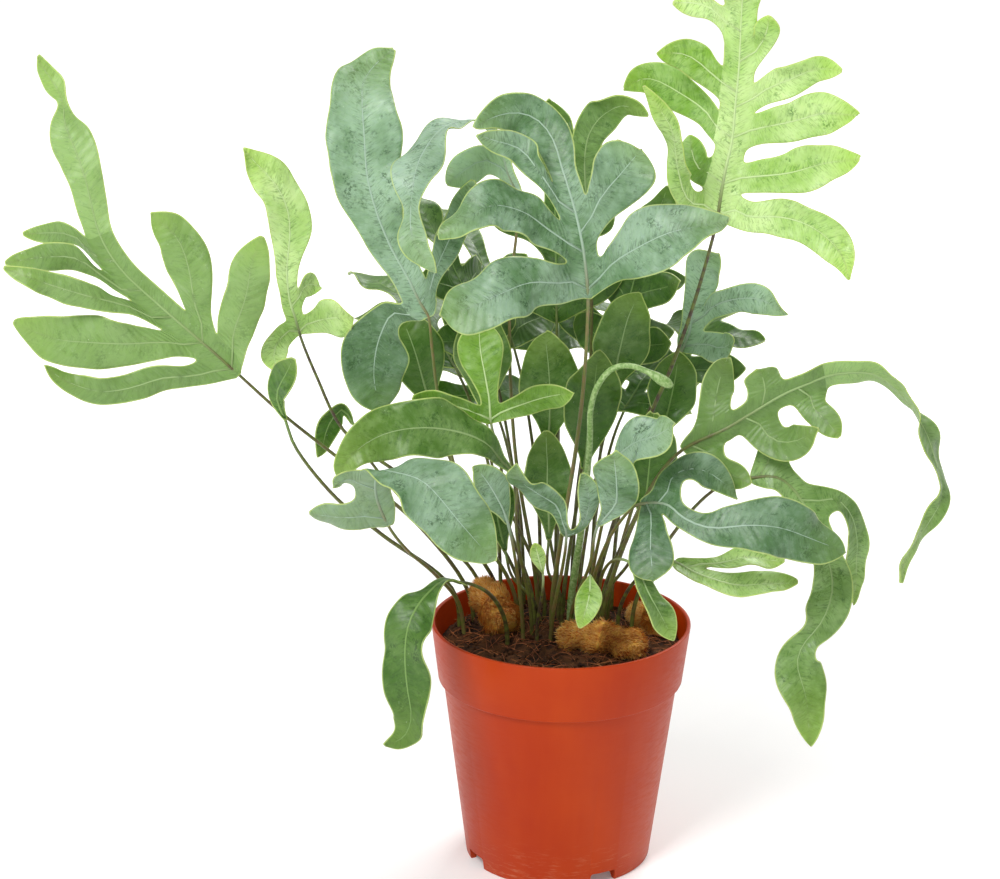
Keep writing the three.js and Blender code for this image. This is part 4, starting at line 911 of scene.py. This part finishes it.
        name="leaf_over_front_rim", colour="green", light=0.4, face=[-0.3, 0.5, 0.8], width=15,
        radius=0.9,
        stem=[[17, 3, FOOT], [17, 1, 118], [18, -14, 142], [23, -34, 157], [29, -46, 160]],
        tip=[[34, -54, 156], [40, -62, 146], [48, -68, 132]],
    ),
    dict(
        name="leaf_over_left_rim", colour="dark", light=0.2, face=[0.5, 0.5, 0.6], width=23, wave=2.8,
        radius=1.1,
        stem=[[-24, -7, FOOT], [-26, -9, 118], [-33, -18, 134], [-43, -28, 143]],
        tip=[[-52, -40, 148], [-61, -52, 147], [-68, -62, 138], [-70, -67, 124], [-69, -69, 109],
            [-67, -69, 94], [-71, -67, 84], [-79, -66, 80]],
    ),
    dict(
        name="leaf_curled_centre", colour="blue", light=0.45, face=[-0.2, -0.9, 0.3], width=16, wave=3,
        wing=3, steps=3,
        stem=[[-5, -2, FOOT], [-4, -5, 118], [0, -18, 148], [1, -30, 165]],
        spine=[[0, -35, 175]],
        tip=[[-4, -39, 184], [-13, -44, 191], [-20, -48, 198], [-22, -52, 208]],
        lobes=[
            lobe(0, 11, [[8, -36, 175], [11, -40, 186], [8, -43, 200]], aim=[0.4, -0.9, 0.2]),
        ],
    ),
    dict(
        name="leaf_small_left", colour="blue", light=0.5, face=[0.3, -0.9, 0.4], width=17, keel=1.4,
        stem=[[-17, -1, FOOT], [-18, -4, 118], [-22, -22, 155], [-25, -30, 172]],
        tip=[[-29, -36, 185], [-34, -40, 195], [-40, -42, 203]],
    ),
    dict(
        name="leaf_bud", colour="lime", light=0.5, face=[0, -0.95, 0.3], width=8, wave=0.8, radius=0.8,
        stem=[[-11, -7, FOOT], [-11, -9, 116], [-9, -18, 136], [-9, -22, 146]],
        tip=[[-11, -25, 154], [-13, -27, 162]],
    ),
    dict(
        name="leaf_spoon", colour="lime", light=0.45, face=[0, 0.3, 0.95], width=12, wave=0.8, radius=0.8,
        stem=[[8, 6, FOOT], [10, 0, 118], [13, -16, 140], [12, -28, 147]],
        tip=[[12, -36, 146], [11, -43, 140], [7, -49, 130]],
    ),
    dict(
        name="leaf_inner_left", colour="green", face=INNER_FACE, width=26, radius=0.9,
        stem=[[-8, 24, FOOT], [-8, 25, 120], [-32, 24, 180], [-35, 23, 204]],
        tip=[[-36, 21, 219], [-37, 19, 234], [-38, 18, 248], [-37, 18, 262]],
    ),
    dict(
        name="leaf_inner_centre", colour="green", face=INNER_FACE, width=27, radius=0.9,
        stem=[[9, 27, FOOT], [9, 28, 120], [18, 28, 188], [23, 27, 213]],
        tip=[[24, 26, 228], [26, 24, 240], [29, 24, 253], [34, 24, 265]],
    ),
    dict(
        name="leaf_inner_right", colour="dark", face=INNER_FACE, width=25, radius=0.9,
        stem=[[20, 19, FOOT], [20, 20, 120], [41, 24, 175], [45, 25, 195]],
        tip=[[48, 26, 206], [50, 28, 215], [52, 31, 224], [53, 33, 235]],
    ),
    dict(
        name="leaf_inner_far_left", colour="green", face=INNER_FACE, width=27, radius=0.9,
        stem=[[-19, 30, FOOT], [-19, 31, 120], [-52, 29, 183], [-60, 27, 207]],
        tip=[[-64, 26, 220], [-67, 26, 232], [-71, 28, 243], [-76, 30, 254]],
    ),
    dict(
        name="leaf_inner_middle", colour="green", face=INNER_FACE, width=29, radius=0.9,
        stem=[[-1, 22, FOOT], [-1, 23, 120], [-8, 22, 166], [-7, 24, 190]],
        tip=[[-6, 25, 201], [-6, 26, 215], [-7, 27, 230], [-9, 27, 245]],
    ),
    dict(
        name="leaf_inner_tall", colour="dark", face=INNER_FACE, width=27, radius=0.9,
        stem=[[9, 21, FOOT], [9, 22, 120], [9, 20, 157], [10, 18, 182]],
        tip=[[11, 17, 194], [12, 15, 209], [14, 13, 224], [15, 12, 241]],
    ),
    dict(
        name="leaf_inner_low_left", colour="dark", face=INNER_FACE, width=20, radius=0.9,
        stem=[[-7, 18, FOOT], [-12, 18, 116], [-23, 18, 130], [-26, 18, 142]],
        tip=[[-28, 18, 150], [-30, 18, 160], [-31, 17, 168], [-33, 15, 183]],
    ),
    dict(
        name="leaf_inner_low_centre", colour="green", face=INNER_FACE, width=23, radius=0.9,
        stem=[[0, 17, FOOT], [0, 18, 120], [-6, 16, 133], [-6, 15, 149]],
        tip=[[-6, 14, 161], [-7, 13, 174], [-7, 13, 186], [-8, 14, 202]],
    ),
    dict(
        name="leaf_inner_low_right", colour="dark", face=INNER_FACE, width=27, radius=0.9,
        stem=[[20, 14, FOOT], [20, 15, 120], [32, 12, 140], [36, 10, 158]],
        tip=[[38, 9, 168], [39, 8, 181], [40, 8, 195], [41, 8, 212]],
    ),
    dict(
        name="frond_behind_centre", colour="green", light=0.3, face=[-0.3, -0.9, 0.3], width=16, steps=4,
        stem=[[1, 26, FOOT], [2, 27, 120], [10, 38, 180], [13, 41, 240], [11, 38, 291]],
        spine=[[10, 36, 300], [9, 34, 312]],
        tip=[[8, 30, 322], [9, 25, 336], [15, 18, 347], [25, 13, 353], [35, 9, 349]],
        lobes=[
            lobe(0, 16, [[20, 39, 305], [26, 40, 317], [24, 40, 332]]),
            lobe(1, 15, [[0, 37, 309], [-9, 37, 318], [-16, 34, 328]]),
        ],
    ),
]

# The fronds behind: where each stands, the way it leans, its length, its bend and its lobes' length.
BEHIND = [
    dict(foot=[-2, 36], turn=94, length=242, bend=32, lobe_length=38),
    dict(foot=[-19, 36], turn=146, length=212, bend=46, lobe_length=34),
    dict(foot=[15, 35], turn=54, length=206, bend=40, lobe_length=31),
    dict(foot=[-9, 44], turn=117, length=218, bend=78, lobe_length=34),
    dict(foot=[6, 45], turn=63, length=214, bend=82, lobe_length=34),
    dict(foot=[-28, 42], turn=130, length=206, bend=98, lobe_length=38),
    dict(foot=[25, 39], turn=46, length=196, bend=98, lobe_length=38),
    dict(foot=[-1, 52], turn=90, length=216, bend=120, lobe_length=38),
    dict(foot=[15, 49], turn=62, length=164, bend=116, lobe_length=32),
    dict(foot=[-17, 49], turn=118, length=168, bend=112, lobe_length=32),
]
ARCH_PAIRS = 2
ARCH_STEM_SHARE = 0.56
ARCH_LOBED_SHARE = 0.26
ARCH_COUNT = 40
ARCH_SHAPE = 1.4
ARCH_BLADE_WIDTH = 20


def lerp(a, b, share):
    return a + (b - a) * share


def arched_frond(order, foot, turn, length, bend, lobe_length):
    """A frond that leans one way from its foot in a single arch, with its lobes in pairs."""
    heading = math.radians(turn)
    out = Vector((math.cos(heading), math.sin(heading), 0))
    side = Vector((-math.sin(heading), math.cos(heading), 0))

    def at(share):
        spot = Vector((*foot, FOOT + 15))
        for index in range(ARCH_COUNT):
            lean = math.radians(bend) * (share * (index + 0.5) / ARCH_COUNT) ** ARCH_SHAPE
            spot += (out * math.sin(lean) + Vector((0, 0, math.cos(lean)))) * length * share / ARCH_COUNT
        return spot

    start = ARCH_STEM_SHARE
    end = start + ARCH_LOBED_SHARE
    lobes = []
    ahead = (at(1) - at(start)).normalized()
    for pair in range(ARCH_PAIRS):
        base = at(lerp(start, end, (3 * pair + 1) / (3 * ARCH_PAIRS)))
        for hand in (1, -1):
            reach = lobe_length * (1 - 0.14 * pair) * (1 + 0.08 * math.sin(3 * order + pair + hand))
            droop = 0.16 + 0.1 * math.sin(order + 2 * pair + hand)
            path = [
                base + side * hand * reach * bit * (1 - 0.1 * bit)
                + ahead * reach * (0.3 * bit + 0.2 * bit * bit) - Vector((0, 0, reach * bit * bit * droop))
                for bit in (0.35, 0.7, 1)
            ]
            lobes.append(lobe(3 * pair, 18 - 2 * pair, path))
    return dict(
        name=f"frond_back_{order + 1}",
        colour="dark",
        face=out * -0.9 + Vector((0, 0, 0.35)),
        stem=[[*foot, FOOT], *(at(share) for share in (0.04, 0.25, 0.46, start))],
        steps=3 * ARCH_PAIRS,
        spine=[at((start + end) / 2), at(end)],
        tip=[at(lerp(end, 1, share)) for share in (0.25, 0.5, 0.75, 1)],
        width=ARCH_BLADE_WIDTH,
        lobes=lobes,
    )


def carry(face, direction):
    """The leaf's upper-face direction, made square to the direction of growth."""
    return (face - direction * face.dot(direction)).normalized()


def swell(share, neck, fade, pinch):
    """A blade's width along its length. A larger fade keeps it broad for longer before its tip."""
    grow = neck + (1 - neck) * smooth(0, 0.55, share)
    rolled = 1 - pinch[1] * math.exp(-((share - pinch[0]) / PINCH_REACH) ** 2)
    return grow * rolled * (1 - max(0, (share - 0.5) / 0.5) ** fade) ** 0.72


def edge_wave(share, length, height, phase):
    """An edge's rise and fall, flat at the base and calmer towards the tip."""
    rise = smooth(0.02, 0.4, share) * (1 - 0.55 * smooth(0.8, 1, share))
    return height * rise * math.sin(math.tau * length / WAVE_LENGTH + phase)


def blade_shares(length):
    count = max(5, round(length / ROW_STEP))
    return [1 - (1 - row / count) ** ROW_CROWDING for row in range(1, count + 1)]


class Leaf:
    """One frond's blade as a loose net of quads, five columns wide, and the lines of its ribs."""

    def __init__(self):
        self.places = []
        self.quads = []
        self.veins = []
        self.growth = []
        self.ribs = []

    def row(self, place, left, face, half, waves, keel):
        """Adds five places across the blade, with its middle lowered and its edges waved."""
        added = []
        for column in COLUMNS:
            rise = waves[column > 0] * abs(column) ** 1.5 - keel * (1 - abs(column))
            added.append(len(self.places))
            self.places.append(place + left * (column * half) + face * rise)
        return added

    def strip(self, low, high, low_half, high_half, low_length, high_length, shares, blade_lightness_and_shade):
        """Joins two rows, with the distances from and along the rib for the veins."""
        for index in range(4):
            before, after = COLUMNS[index], COLUMNS[index + 1]
            self.quads.append((low[index], high[index], high[index + 1], low[index + 1]))
            self.veins.append((
                (before * low_half, low_length), (before * high_half, high_length),
                (after * high_half, high_length), (after * low_half, low_length),
            ))
            self.growth.append([(shares[at], blade_lightness_and_shade) for at in (0, 1, 1, 0)])

    def grow(self, base, base_half, base_length, stations, shares, face, blade):
        """Grows one blade from a row of places. It turns about its length towards its aim."""
        width, phase, aim, slant = blade["width"], blade["phase"], blade.get("aim"), blade.get("slant")
        wave = blade.get("wave") or min(WAVE_LIMIT, WAVE_SHARE * width)
        keel = blade.get("keel") or BLADE_KEEL
        fade, pinch = blade.get("fade") or BLADE_FADE, blade.get("pinch") or NO_PINCH
        before, before_half, before_length, before_share = base, base_half, base_length, 0
        angle = 0
        middle = []
        for (place, direction, length), share in zip(stations, shares):
            face = carry(face, direction)
            turned = face
            if aim:
                target = carry(Vector(aim), direction)
                wanted = math.atan2(face.cross(target).dot(direction), face.dot(target))
                angle = wanted + math.tau * round((angle - wanted) / math.tau)
                turned = Quaternion(direction, angle * smooth(0, 0.5, share)) @ face
            left = turned.cross(direction).normalized()
            if slant:
                left = left.lerp(slant, 1 - smooth(0, 0.5, share)).normalized()
            scallop = 1 + SCALLOP_DEPTH * math.sin(math.tau * length / SCALLOP_LENGTH + phase)
            half = max(TIP_POINT_WIDTH, width * swell(share, blade["neck"], fade, pinch) * scallop) / 2
            waves = [edge_wave(share, length, wave, phase + offset) for offset in (WAVE_OFFSET, 0)]
            fold = keel * smooth(0, 0.3, share) * (1 - smooth(0.75, 1, share))
            row = self.row(place, left, turned, half, waves, fold)
            ends = (before_length, base_length + length, (before_share, share), blade["blade_lightness_and_shade"])
            self.strip(before, row, before_half, half, *ends)
            before, before_half, before_length, before_share = row, half, base_length + length, share
            middle.append(row[2])
        return middle


def even(count):
    return [index / count for index in range(count + 1)]


def grow_frond(frond, order):
    """The net of one frond, and its stem as places with their girths."""
    frond_lightness_and_shade = frond.get("light", INNER_LIGHT_WITH_PAINTED_SHADE)
    radius, wing = frond.get("radius", STEM_RADIUS), frond.get("wing", WING_WIDTH)
    steps = frond.get("steps", 0)
    knots = vectors([*frond["stem"], *frond.get("spine", []), *frond["tip"]])
    stem_end = (len(frond["stem"]) - 1) / (len(knots) - 1)
    spine_end = (len(frond["stem"]) + len(frond.get("spine", [])) - 1) / (len(knots) - 1)
    stem = walk(knots, 0, stem_end, even(STEM_STEPS))
    face = Vector(frond["face"])
    for _, direction, _ in reversed(stem):
        face = carry(face, direction)
    for _, direction, _ in stem:
        face = carry(face, direction)
    chance = random.Random(100 + order)

    # A blade's lightness, from its light with a little random spread: partly its own tone and partly painted
    # shade.
    def blade_lightness_and_shade(light):
        return min(1, max(0, light + chance.uniform(-LIGHT_SPREAD, LIGHT_SPREAD)))

    leaf = Leaf()
    if steps:
        stations = walk(knots, stem_end, spine_end, even(2 * steps))
        rows, faces = [], []
        for index, (place, direction, length) in enumerate(stations):
            face = carry(face, direction)
            faces.append(face)
            half = wing * WING_START[min(index, 2)]
            rows.append(leaf.row(place, face.cross(direction).normalized(), face, half, (0, 0), WING_KEEL))
            if index:
                leaf.strip(*rows[-2:], wing, wing, stations[index - 1][2], length, (0, 0), frond_lightness_and_shade)
        for index, one in enumerate(frond.get("lobes", [])):
            at = 2 * one["at"]
            middle_place, direction, _ = stations[at + 2]
            path = [middle_place, *vectors(one["path"])]
            left = faces[at + 2].cross(direction).normalized()
            on_left = (path[1] - middle_place).dot(left) > 0
            base = [rows[at + step][4 if on_left else 0] for step in range(5)]
            if on_left:
                base.reverse()
            reach = walk(path, 0, 1, [1])[0][2]
            outward = max(LEAST_OUTWARD, abs(walk(path, 0, 1, [0])[0][1].dot(left)))
            start = min(BASE_REACH, WING_CLEARANCE * wing / (reach * outward))
            lobe_shares = blade_shares(reach * (1 - start))
            lobe_stations = walk(path, 0, 1, [lerp(start, 1, share) for share in lobe_shares])
            base_width = (stations[at][0] - stations[at + 4][0]).length
            blade = dict(
                one,
                neck=min(0.95, base_width / one["width"]),
                phase=FROND_PHASE * order + LOBE_PHASE * index,
                slant=direction * (-1 if on_left else 1),
                blade_lightness_and_shade=blade_lightness_and_shade(one.get("light", frond_lightness_and_shade)),
            )
            ribs = leaf.grow(
                base, base_width / 2, start * reach, lobe_stations, lobe_shares, faces[at + 2], blade)
            leaf.ribs.append(([rows[at + 1][2], base[2], *ribs], SIDE_RIB_RADIUS))
        base, length = rows[-1], stations[-1][2]
        spine = [row[2] for row in rows]
        neck, base_half = min(0.9, 2 * wing / frond["width"]), wing
    else:
        place, direction, _ = stem[-1]
        neck, base_half, length = 0.12, 0.06 * frond["width"], 0
        base = leaf.row(place, face.cross(direction).normalized(), face, base_half, (0, 0), 0)
        spine = [base[2]]
    tip_start = spine_end if steps else stem_end
    shares = blade_shares(walk(knots, tip_start, 1, [1])[0][2])
    blade = dict(
        {key: frond.get(key) for key in ("width", "aim", "wave", "keel", "fade", "pinch")},
        neck=neck,
        phase=FROND_PHASE * order + TIP_PHASE,
        blade_lightness_and_shade=blade_lightness_and_shade(frond.get("tip_light", frond_lightness_and_shade)),
    )
    tip = leaf.grow(base, base_half, length, walk(knots, tip_start, 1, shares), shares, face, blade)
    leaf.ribs.insert(0, ([*spine, *tip], radius * MIDRIB_SHARE))
    girths = [radius * (1.15 - 0.45 * share) for share in even(STEM_STEPS)]
    return leaf, [place for place, _, _ in stem], girths


def tube(made, layers, places, girths, sides, climb, slot):
    """Adds a closed tapered tube to a bmesh, with how far up the frond it is for its colour."""
    vein, growth = layers
    rings = []
    across = None
    for index, place in enumerate(places):
        direction = (places[min(index + 1, len(places) - 1)] - places[max(index - 1, 0)]).normalized()
        across = carry(across or Vector((0.3, 0.9, 0.1)), direction)
        other = direction.cross(across)
        ring = []
        for side in range(sides):
            angle = side * math.tau / sides
            out = across * math.cos(angle) + other * math.sin(angle)
            ring.append(made.verts.new((place + out * girths[index]) * MM))
        rings.append(ring)
    length = 0
    for index in range(1, len(rings)):
        after = length + (places[index] - places[index - 1]).length
        low, high = rings[index - 1], rings[index]
        shares = [lerp(*climb, step / (len(rings) - 1)) for step in (index - 1, index)]
        for side in range(sides):
            beside = (side + 1) % sides
            face = made.faces.new((low[side], low[beside], high[beside], high[side]))
            face.smooth = True
            face.material_index = slot
            around = (side, side + 1, side + 1, side)
            for corner, u, v, share in zip(face.loops, around, (length, length, after, after), (0, 0, 1, 1)):
                corner[vein].uv = (u, v)
                corner[growth].uv = (shares[share], 0)
        length = after
    for ring in (rings[0][::-1], rings[-1]):
        made.faces.new(ring).material_index = slot


def leaf_mesh(name, leaf):
    """The blade as a mesh with its vein and growth maps, smoothed."""
    mesh = bpy.data.meshes.new(name)
    mesh.from_pydata([place * MM for place in leaf.places], [], leaf.quads)
    for layer, values in (("vein", leaf.veins), ("growth", leaf.growth)):
        uv = mesh.uv_layers.new(name=layer)
        uv.uv.foreach_set("vector", np.array(values, dtype=np.float32).ravel())
    piece = bpy.data.objects.new(name, mesh)
    bpy.context.scene.collection.objects.link(piece)
    finer = piece.modifiers.new("finer", "SUBSURF")
    finer.levels = finer.render_levels = 2
    apply_modifiers(piece)
    return piece


def ruffle(piece, seed):
    """Moves the blade up and down near its edges, and keeps each point's distance to the edge."""
    made = bmesh.new()
    made.from_mesh(piece.data)
    made.normal_update()
    rim = made.verts.layers.float.new("rim")
    edges = [vertex for vertex in made.verts if vertex.is_boundary]
    tree = KDTree(len(edges))
    for index, vertex in enumerate(edges):
        tree.insert(vertex.co, index)
    tree.balance()
    moved = []
    for vertex in made.verts:
        away = tree.find(vertex.co)[2] / MM
        vertex[rim] = away
        where = vertex.co / (RUFFLE_LENGTH * MM) + Vector((0, 0, seed))
        height = RUFFLE_HEIGHT * 2 * noise.noise(where) * math.exp(-(away / RUFFLE_REACH) ** 2)
        height += 0.35 * noise.noise(where * 0.6 + Vector((7, 0, 0)))
        moved.append(vertex.co + vertex.normal * height * MM)
    for vertex, place in zip(made.verts, moved):
        vertex.co = place
    made.to_mesh(piece.data)
    made.free()


def make_frond(frond, order):
    leaf, stem, girths = grow_frond(frond, order)
    piece = leaf_mesh(frond["name"], leaf)
    ruffle(piece, order * 3.7)
    points = piece.data.vertices
    lines = [([points[index].co / MM for index in line], radius) for line, radius in leaf.ribs]
    thick = piece.modifiers.new("thickness", "SOLIDIFY")
    thick.thickness = BLADE_THICKNESS * MM
    thick.offset = 0
    thick.use_rim = True
    thick.material_offset = 1
    thick.material_offset_rim = 2
    for kind in ("upper", "under", "rim", "stalk"):
        piece.data.materials.append(LEAF_FINISHES[frond["colour"]][kind])
    apply_modifiers(piece)
    made = bmesh.new()
    made.from_mesh(piece.data)
    for face in made.faces:
        face.smooth = True
    layers = [made.loops.layers.uv["vein"], made.loops.layers.uv["growth"]]
    main, radius = lines[0]
    steps = len(main) - 1
    thinning = [radius * lerp(1, 0.2, (index / steps) ** 0.8) for index in range(1, steps + 1)]
    climb = (0, 1 + len(main) / 60)
    tube(made, layers, [*stem, *main[1:]], [*girths, *thinning], STEM_SIDES, climb, STALK_SLOT)
    for line, radius in lines[1:]:
        thinning = [radius * lerp(1, 0.25, share) for share in even(len(line) - 1)]
        tube(made, layers, line, thinning, SIDE_RIB_SIDES, (1.2, 1.6), STALK_SLOT)
    made.to_mesh(piece.data)
    made.free()
    return piece


# Leaf finishes: a waxy blue-green or yellow-green skin with a paler bloom, dark specks, short dark
# strokes beside the ribs, a pale line along the margin, a plainer underside, and wiry dark stalks.
# Each blade is paler or darker by its lightness, which is partly its own tone and partly painted shade.
TONES = {
    "blue": dict(
        light="A0BAA3", middle="587C50", deep="284A26",
        tip="86A550", under="8EA97E", stalk="7A6A40",
    ),
    "green": dict(
        light="93AF70", middle="52772A", deep="285010",
        tip="94B23F", under="85A45C", stalk="5E5430",
    ),
    "lime": dict(
        light="C6DE9E", middle="86AF3C", deep="3F7010",
        tip="B0D24C", under="9CBF58", stalk="4A3A30",
    ),
    # The dark family: a darker green for blades inside, under and behind the plant, partly their own tone and
    # partly painted shade.
    "dark": dict(
        light="76984E", middle="426B1A", deep="1E3F0C",
        tip="7A9C2E", under="6A8C3C", stalk="4E4426",
    ),
}
MARGIN_TONE = "BFCF7C"
DOT_TONE = "D6DFC8"
RIPPLE_LENGTH = 4.4
RELIEF_DEPTH = 0.0003


def leaf_skin(name, tones, upper):
    """The finish of one side of a blade. The vein map holds millimetres from and along the rib, and
    the growth map holds how near the tip the place is and how light its blade is, partly its own tone
    and partly painted shade."""
    skin = Finish(name)
    veins = skin.node("SeparateXYZ", {0: skin.node("UVMap", {}, uv_map="vein").outputs[0]})
    growth = skin.node("SeparateXYZ", {0: skin.node("UVMap", {}, uv_map="growth").outputs[0]})
    rim = skin.node("Attribute", {}, attribute_name="rim").outputs["Fac"]
    place = skin.place()
    light = growth.outputs["Y"]
    aside = skin.math("ABSOLUTE", veins.outputs["X"])
    slanted = skin.math("SUBTRACT", veins.outputs["Y"], skin.math("MULTIPLY", aside, 0.55))
    along = skin.node("CombineXYZ", {
        0: skin.math("MULTIPLY", slanted, 0.9),
        1: skin.math("MULTIPLY", veins.outputs["X"], 0.2),
        2: light,
    })
    cloud = skin.noise(place, 38, 4)
    bloom = skin.noise(place, 190, 5, 0.65)
    strokes = skin.noise(along.outputs[0], 1.5, 4, 0.72)
    flecks = skin.noise(place, 950, 4, 0.65)
    patches = skin.noise(place, 120, 5, 0.7)

    # The blade's lightness makes light blades paler: partly their own tone, partly painted light and shade.
    paler = skin.fade(light, 0, 1, -0.5, 0.4)
    share = skin.math("ADD", skin.fade(cloud, 0.3, 0.7, 0, 0.75), paler, clamp=True)
    tone = skin.mix(share, paint(tones["middle" if upper else "under"]), paint(tones["light"]))
    tone = skin.mix(skin.fade(bloom, 0.4, 0.7, 0, 0.4), tone, paint(tones["light"]))
    band = skin.math("MULTIPLY", skin.fade(aside, 1.5, 5, 0.35, 1), skin.fade(rim, 0.8, 4, 0.3, 1))
    specks = skin.math("MULTIPLY", skin.fade(flecks, 0.46, 0.54, 1, 0), skin.fade(patches, 0.5, 0.64))
    specks = skin.math("MULTIPLY", skin.math("MULTIPLY", specks, band), 0.75 if upper else 0.35)
    tone = skin.mix(specks, tone, paint(tones["deep"]))
    near = skin.math("ADD", skin.fade(aside, 6, 0.5, 0, 0.7), skin.fade(rim, 4.5, 0.8, 0, 0.4))
    marks = skin.math("MULTIPLY", skin.fade(strokes, 0.5, 0.62), skin.math("ADD", near, 0.25), clamp=True)
    tone = skin.mix(skin.math("MULTIPLY", marks, 0.6 if upper else 0.3), tone, paint(tones["deep"]))
    tone = skin.mix(skin.fade(growth.outputs["X"], 0.6, 1.0, 0, 0.4), tone, paint(tones["tip"]))
    # Painted shade: blades of low lightness darken towards the deep tone, for those that stand in shadow;
    # partly their own darker tone too.
    tone = skin.mix(skin.fade(light, 0.45, 0.0, 0, 0.5), tone, paint(tones["deep"]))
    tone = skin.mix(skin.math("MULTIPLY", skin.fade(flecks, 0.68, 0.74), 0.6), tone, paint(DOT_TONE))
    tone = skin.mix(skin.fade(rim, 0.7, 0.2, 0, 0.7), tone, paint(MARGIN_TONE))
    skin.set(
        base_color=tone,
        roughness=skin.fade(bloom, 0.3, 0.7, 0.36, 0.52),
        specular_ior_level=0.45,
        subsurface_weight=0.35,
        subsurface_radius=(0.0012, 0.0016, 0.0005),
        subsurface_scale=1.0,
    )
    ripple = skin.math("SINE", skin.math("MULTIPLY", slanted, math.tau / RIPPLE_LENGTH))
    relief = skin.math("ADD", skin.math("MULTIPLY", ripple, 0.22), skin.math("MULTIPLY", bloom, 0.8))
    skin.bump(relief, RELIEF_DEPTH if upper else -RELIEF_DEPTH)
    return skin.material


def leaf_rim(name, tones):
    """The thin cartilage edge of the blade."""
    edge = Finish(name)
    fleck = edge.noise(edge.place(), 500, 3)
    tone = edge.mix(edge.fade(fleck, 0.35, 0.7), paint(MARGIN_TONE), paint(tones["tip"]))
    edge.set(base_color=tone, roughness=0.5)
    return edge.material


def leaf_stalk(name, tones):
    """Stems are dark and wiry at the foot, and turn to the pale rib of the blade at the top."""
    stalk = Finish(name)
    growth = stalk.node("UVMap", {}, uv_map="growth").outputs[0]
    climb = stalk.node("SeparateXYZ", {0: growth}).outputs["X"]
    streak = stalk.noise(stalk.place(), 320, 3)
    low = stalk.mix(stalk.fade(streak, 0.35, 0.65), paint(tones["stalk"]), paint("66702F"))
    tone = stalk.mix(stalk.fade(climb, 0.72, 0.98), low, paint(tones["light"]))
    stalk.set(base_color=tone, roughness=0.42)
    stalk.bump(streak, 0.0001)
    return stalk.material


LEAF_FINISHES = {
    kind: dict(
        upper=leaf_skin(f"{kind}_leaf_upper", tones, True),
        under=leaf_skin(f"{kind}_leaf_under", tones, False),
        rim=leaf_rim(f"{kind}_leaf_rim", tones),
        stalk=leaf_stalk(f"{kind}_leaf_stalk", tones),
    )
    for kind, tones in TONES.items()
}
arches = [arched_frond(order, **back) for order, back in enumerate(BEHIND)]
for order, frond in enumerate([*FRONDS, *arches]):
    piece = make_frond(frond, order)
    piece.name = frond["name"] + "_leaf"
    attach(piece, "root")
    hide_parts(frond["name"])


# The crozier: a young frond whose end is still hooked over, pale green and dusted with fine scales.
# It is thickest just before its tip.
CROZIER_RADIUS = 1.5
CROZIER_STEPS = 90
CROZIER_SIDES = 16
CROZIER_STEM = [
    [5, 18, FOOT], [5, 15, 118], [9, -4, 165], [11, -24, 210], [11, -27, 225], [14, -30, 237], [20, -32, 245],
    [27, -34, 247], [35, -36, 245], [41, -38, 242], [46, -38, 239],
]
crozier_places = [place for place, _, _ in walk(vectors(CROZIER_STEM), 0, 1, even(CROZIER_STEPS))]
crozier_girths = []
for share in even(CROZIER_STEPS):
    bulge = 1 + 0.9 * smooth(0.93, 0.97, share) - 1.1 * smooth(0.985, 1, share)
    crozier_girths.append(CROZIER_RADIUS * (1.2 - 0.35 * smooth(0, 0.9, share)) * bulge)
made = bmesh.new()
layers = [made.loops.layers.uv.new("vein"), made.loops.layers.uv.new("growth")]
tube(made, layers, crozier_places, crozier_girths, CROZIER_SIDES, (0.5, 1.4), 0)
crozier = object_from(made, "crozier_shoot")
shoot = Finish("young_shoot")
fuzz = shoot.noise(shoot.place(), 700, 4)
shoot.set(base_color=shoot.mix(shoot.fade(fuzz, 0.35, 0.7), paint("6F9448"), paint("A9C284")), roughness=0.5)
shoot.bump(fuzz, 0.0002)
crozier.data.materials.append(shoot.material)
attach(crozier, "root")
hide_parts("crozier")
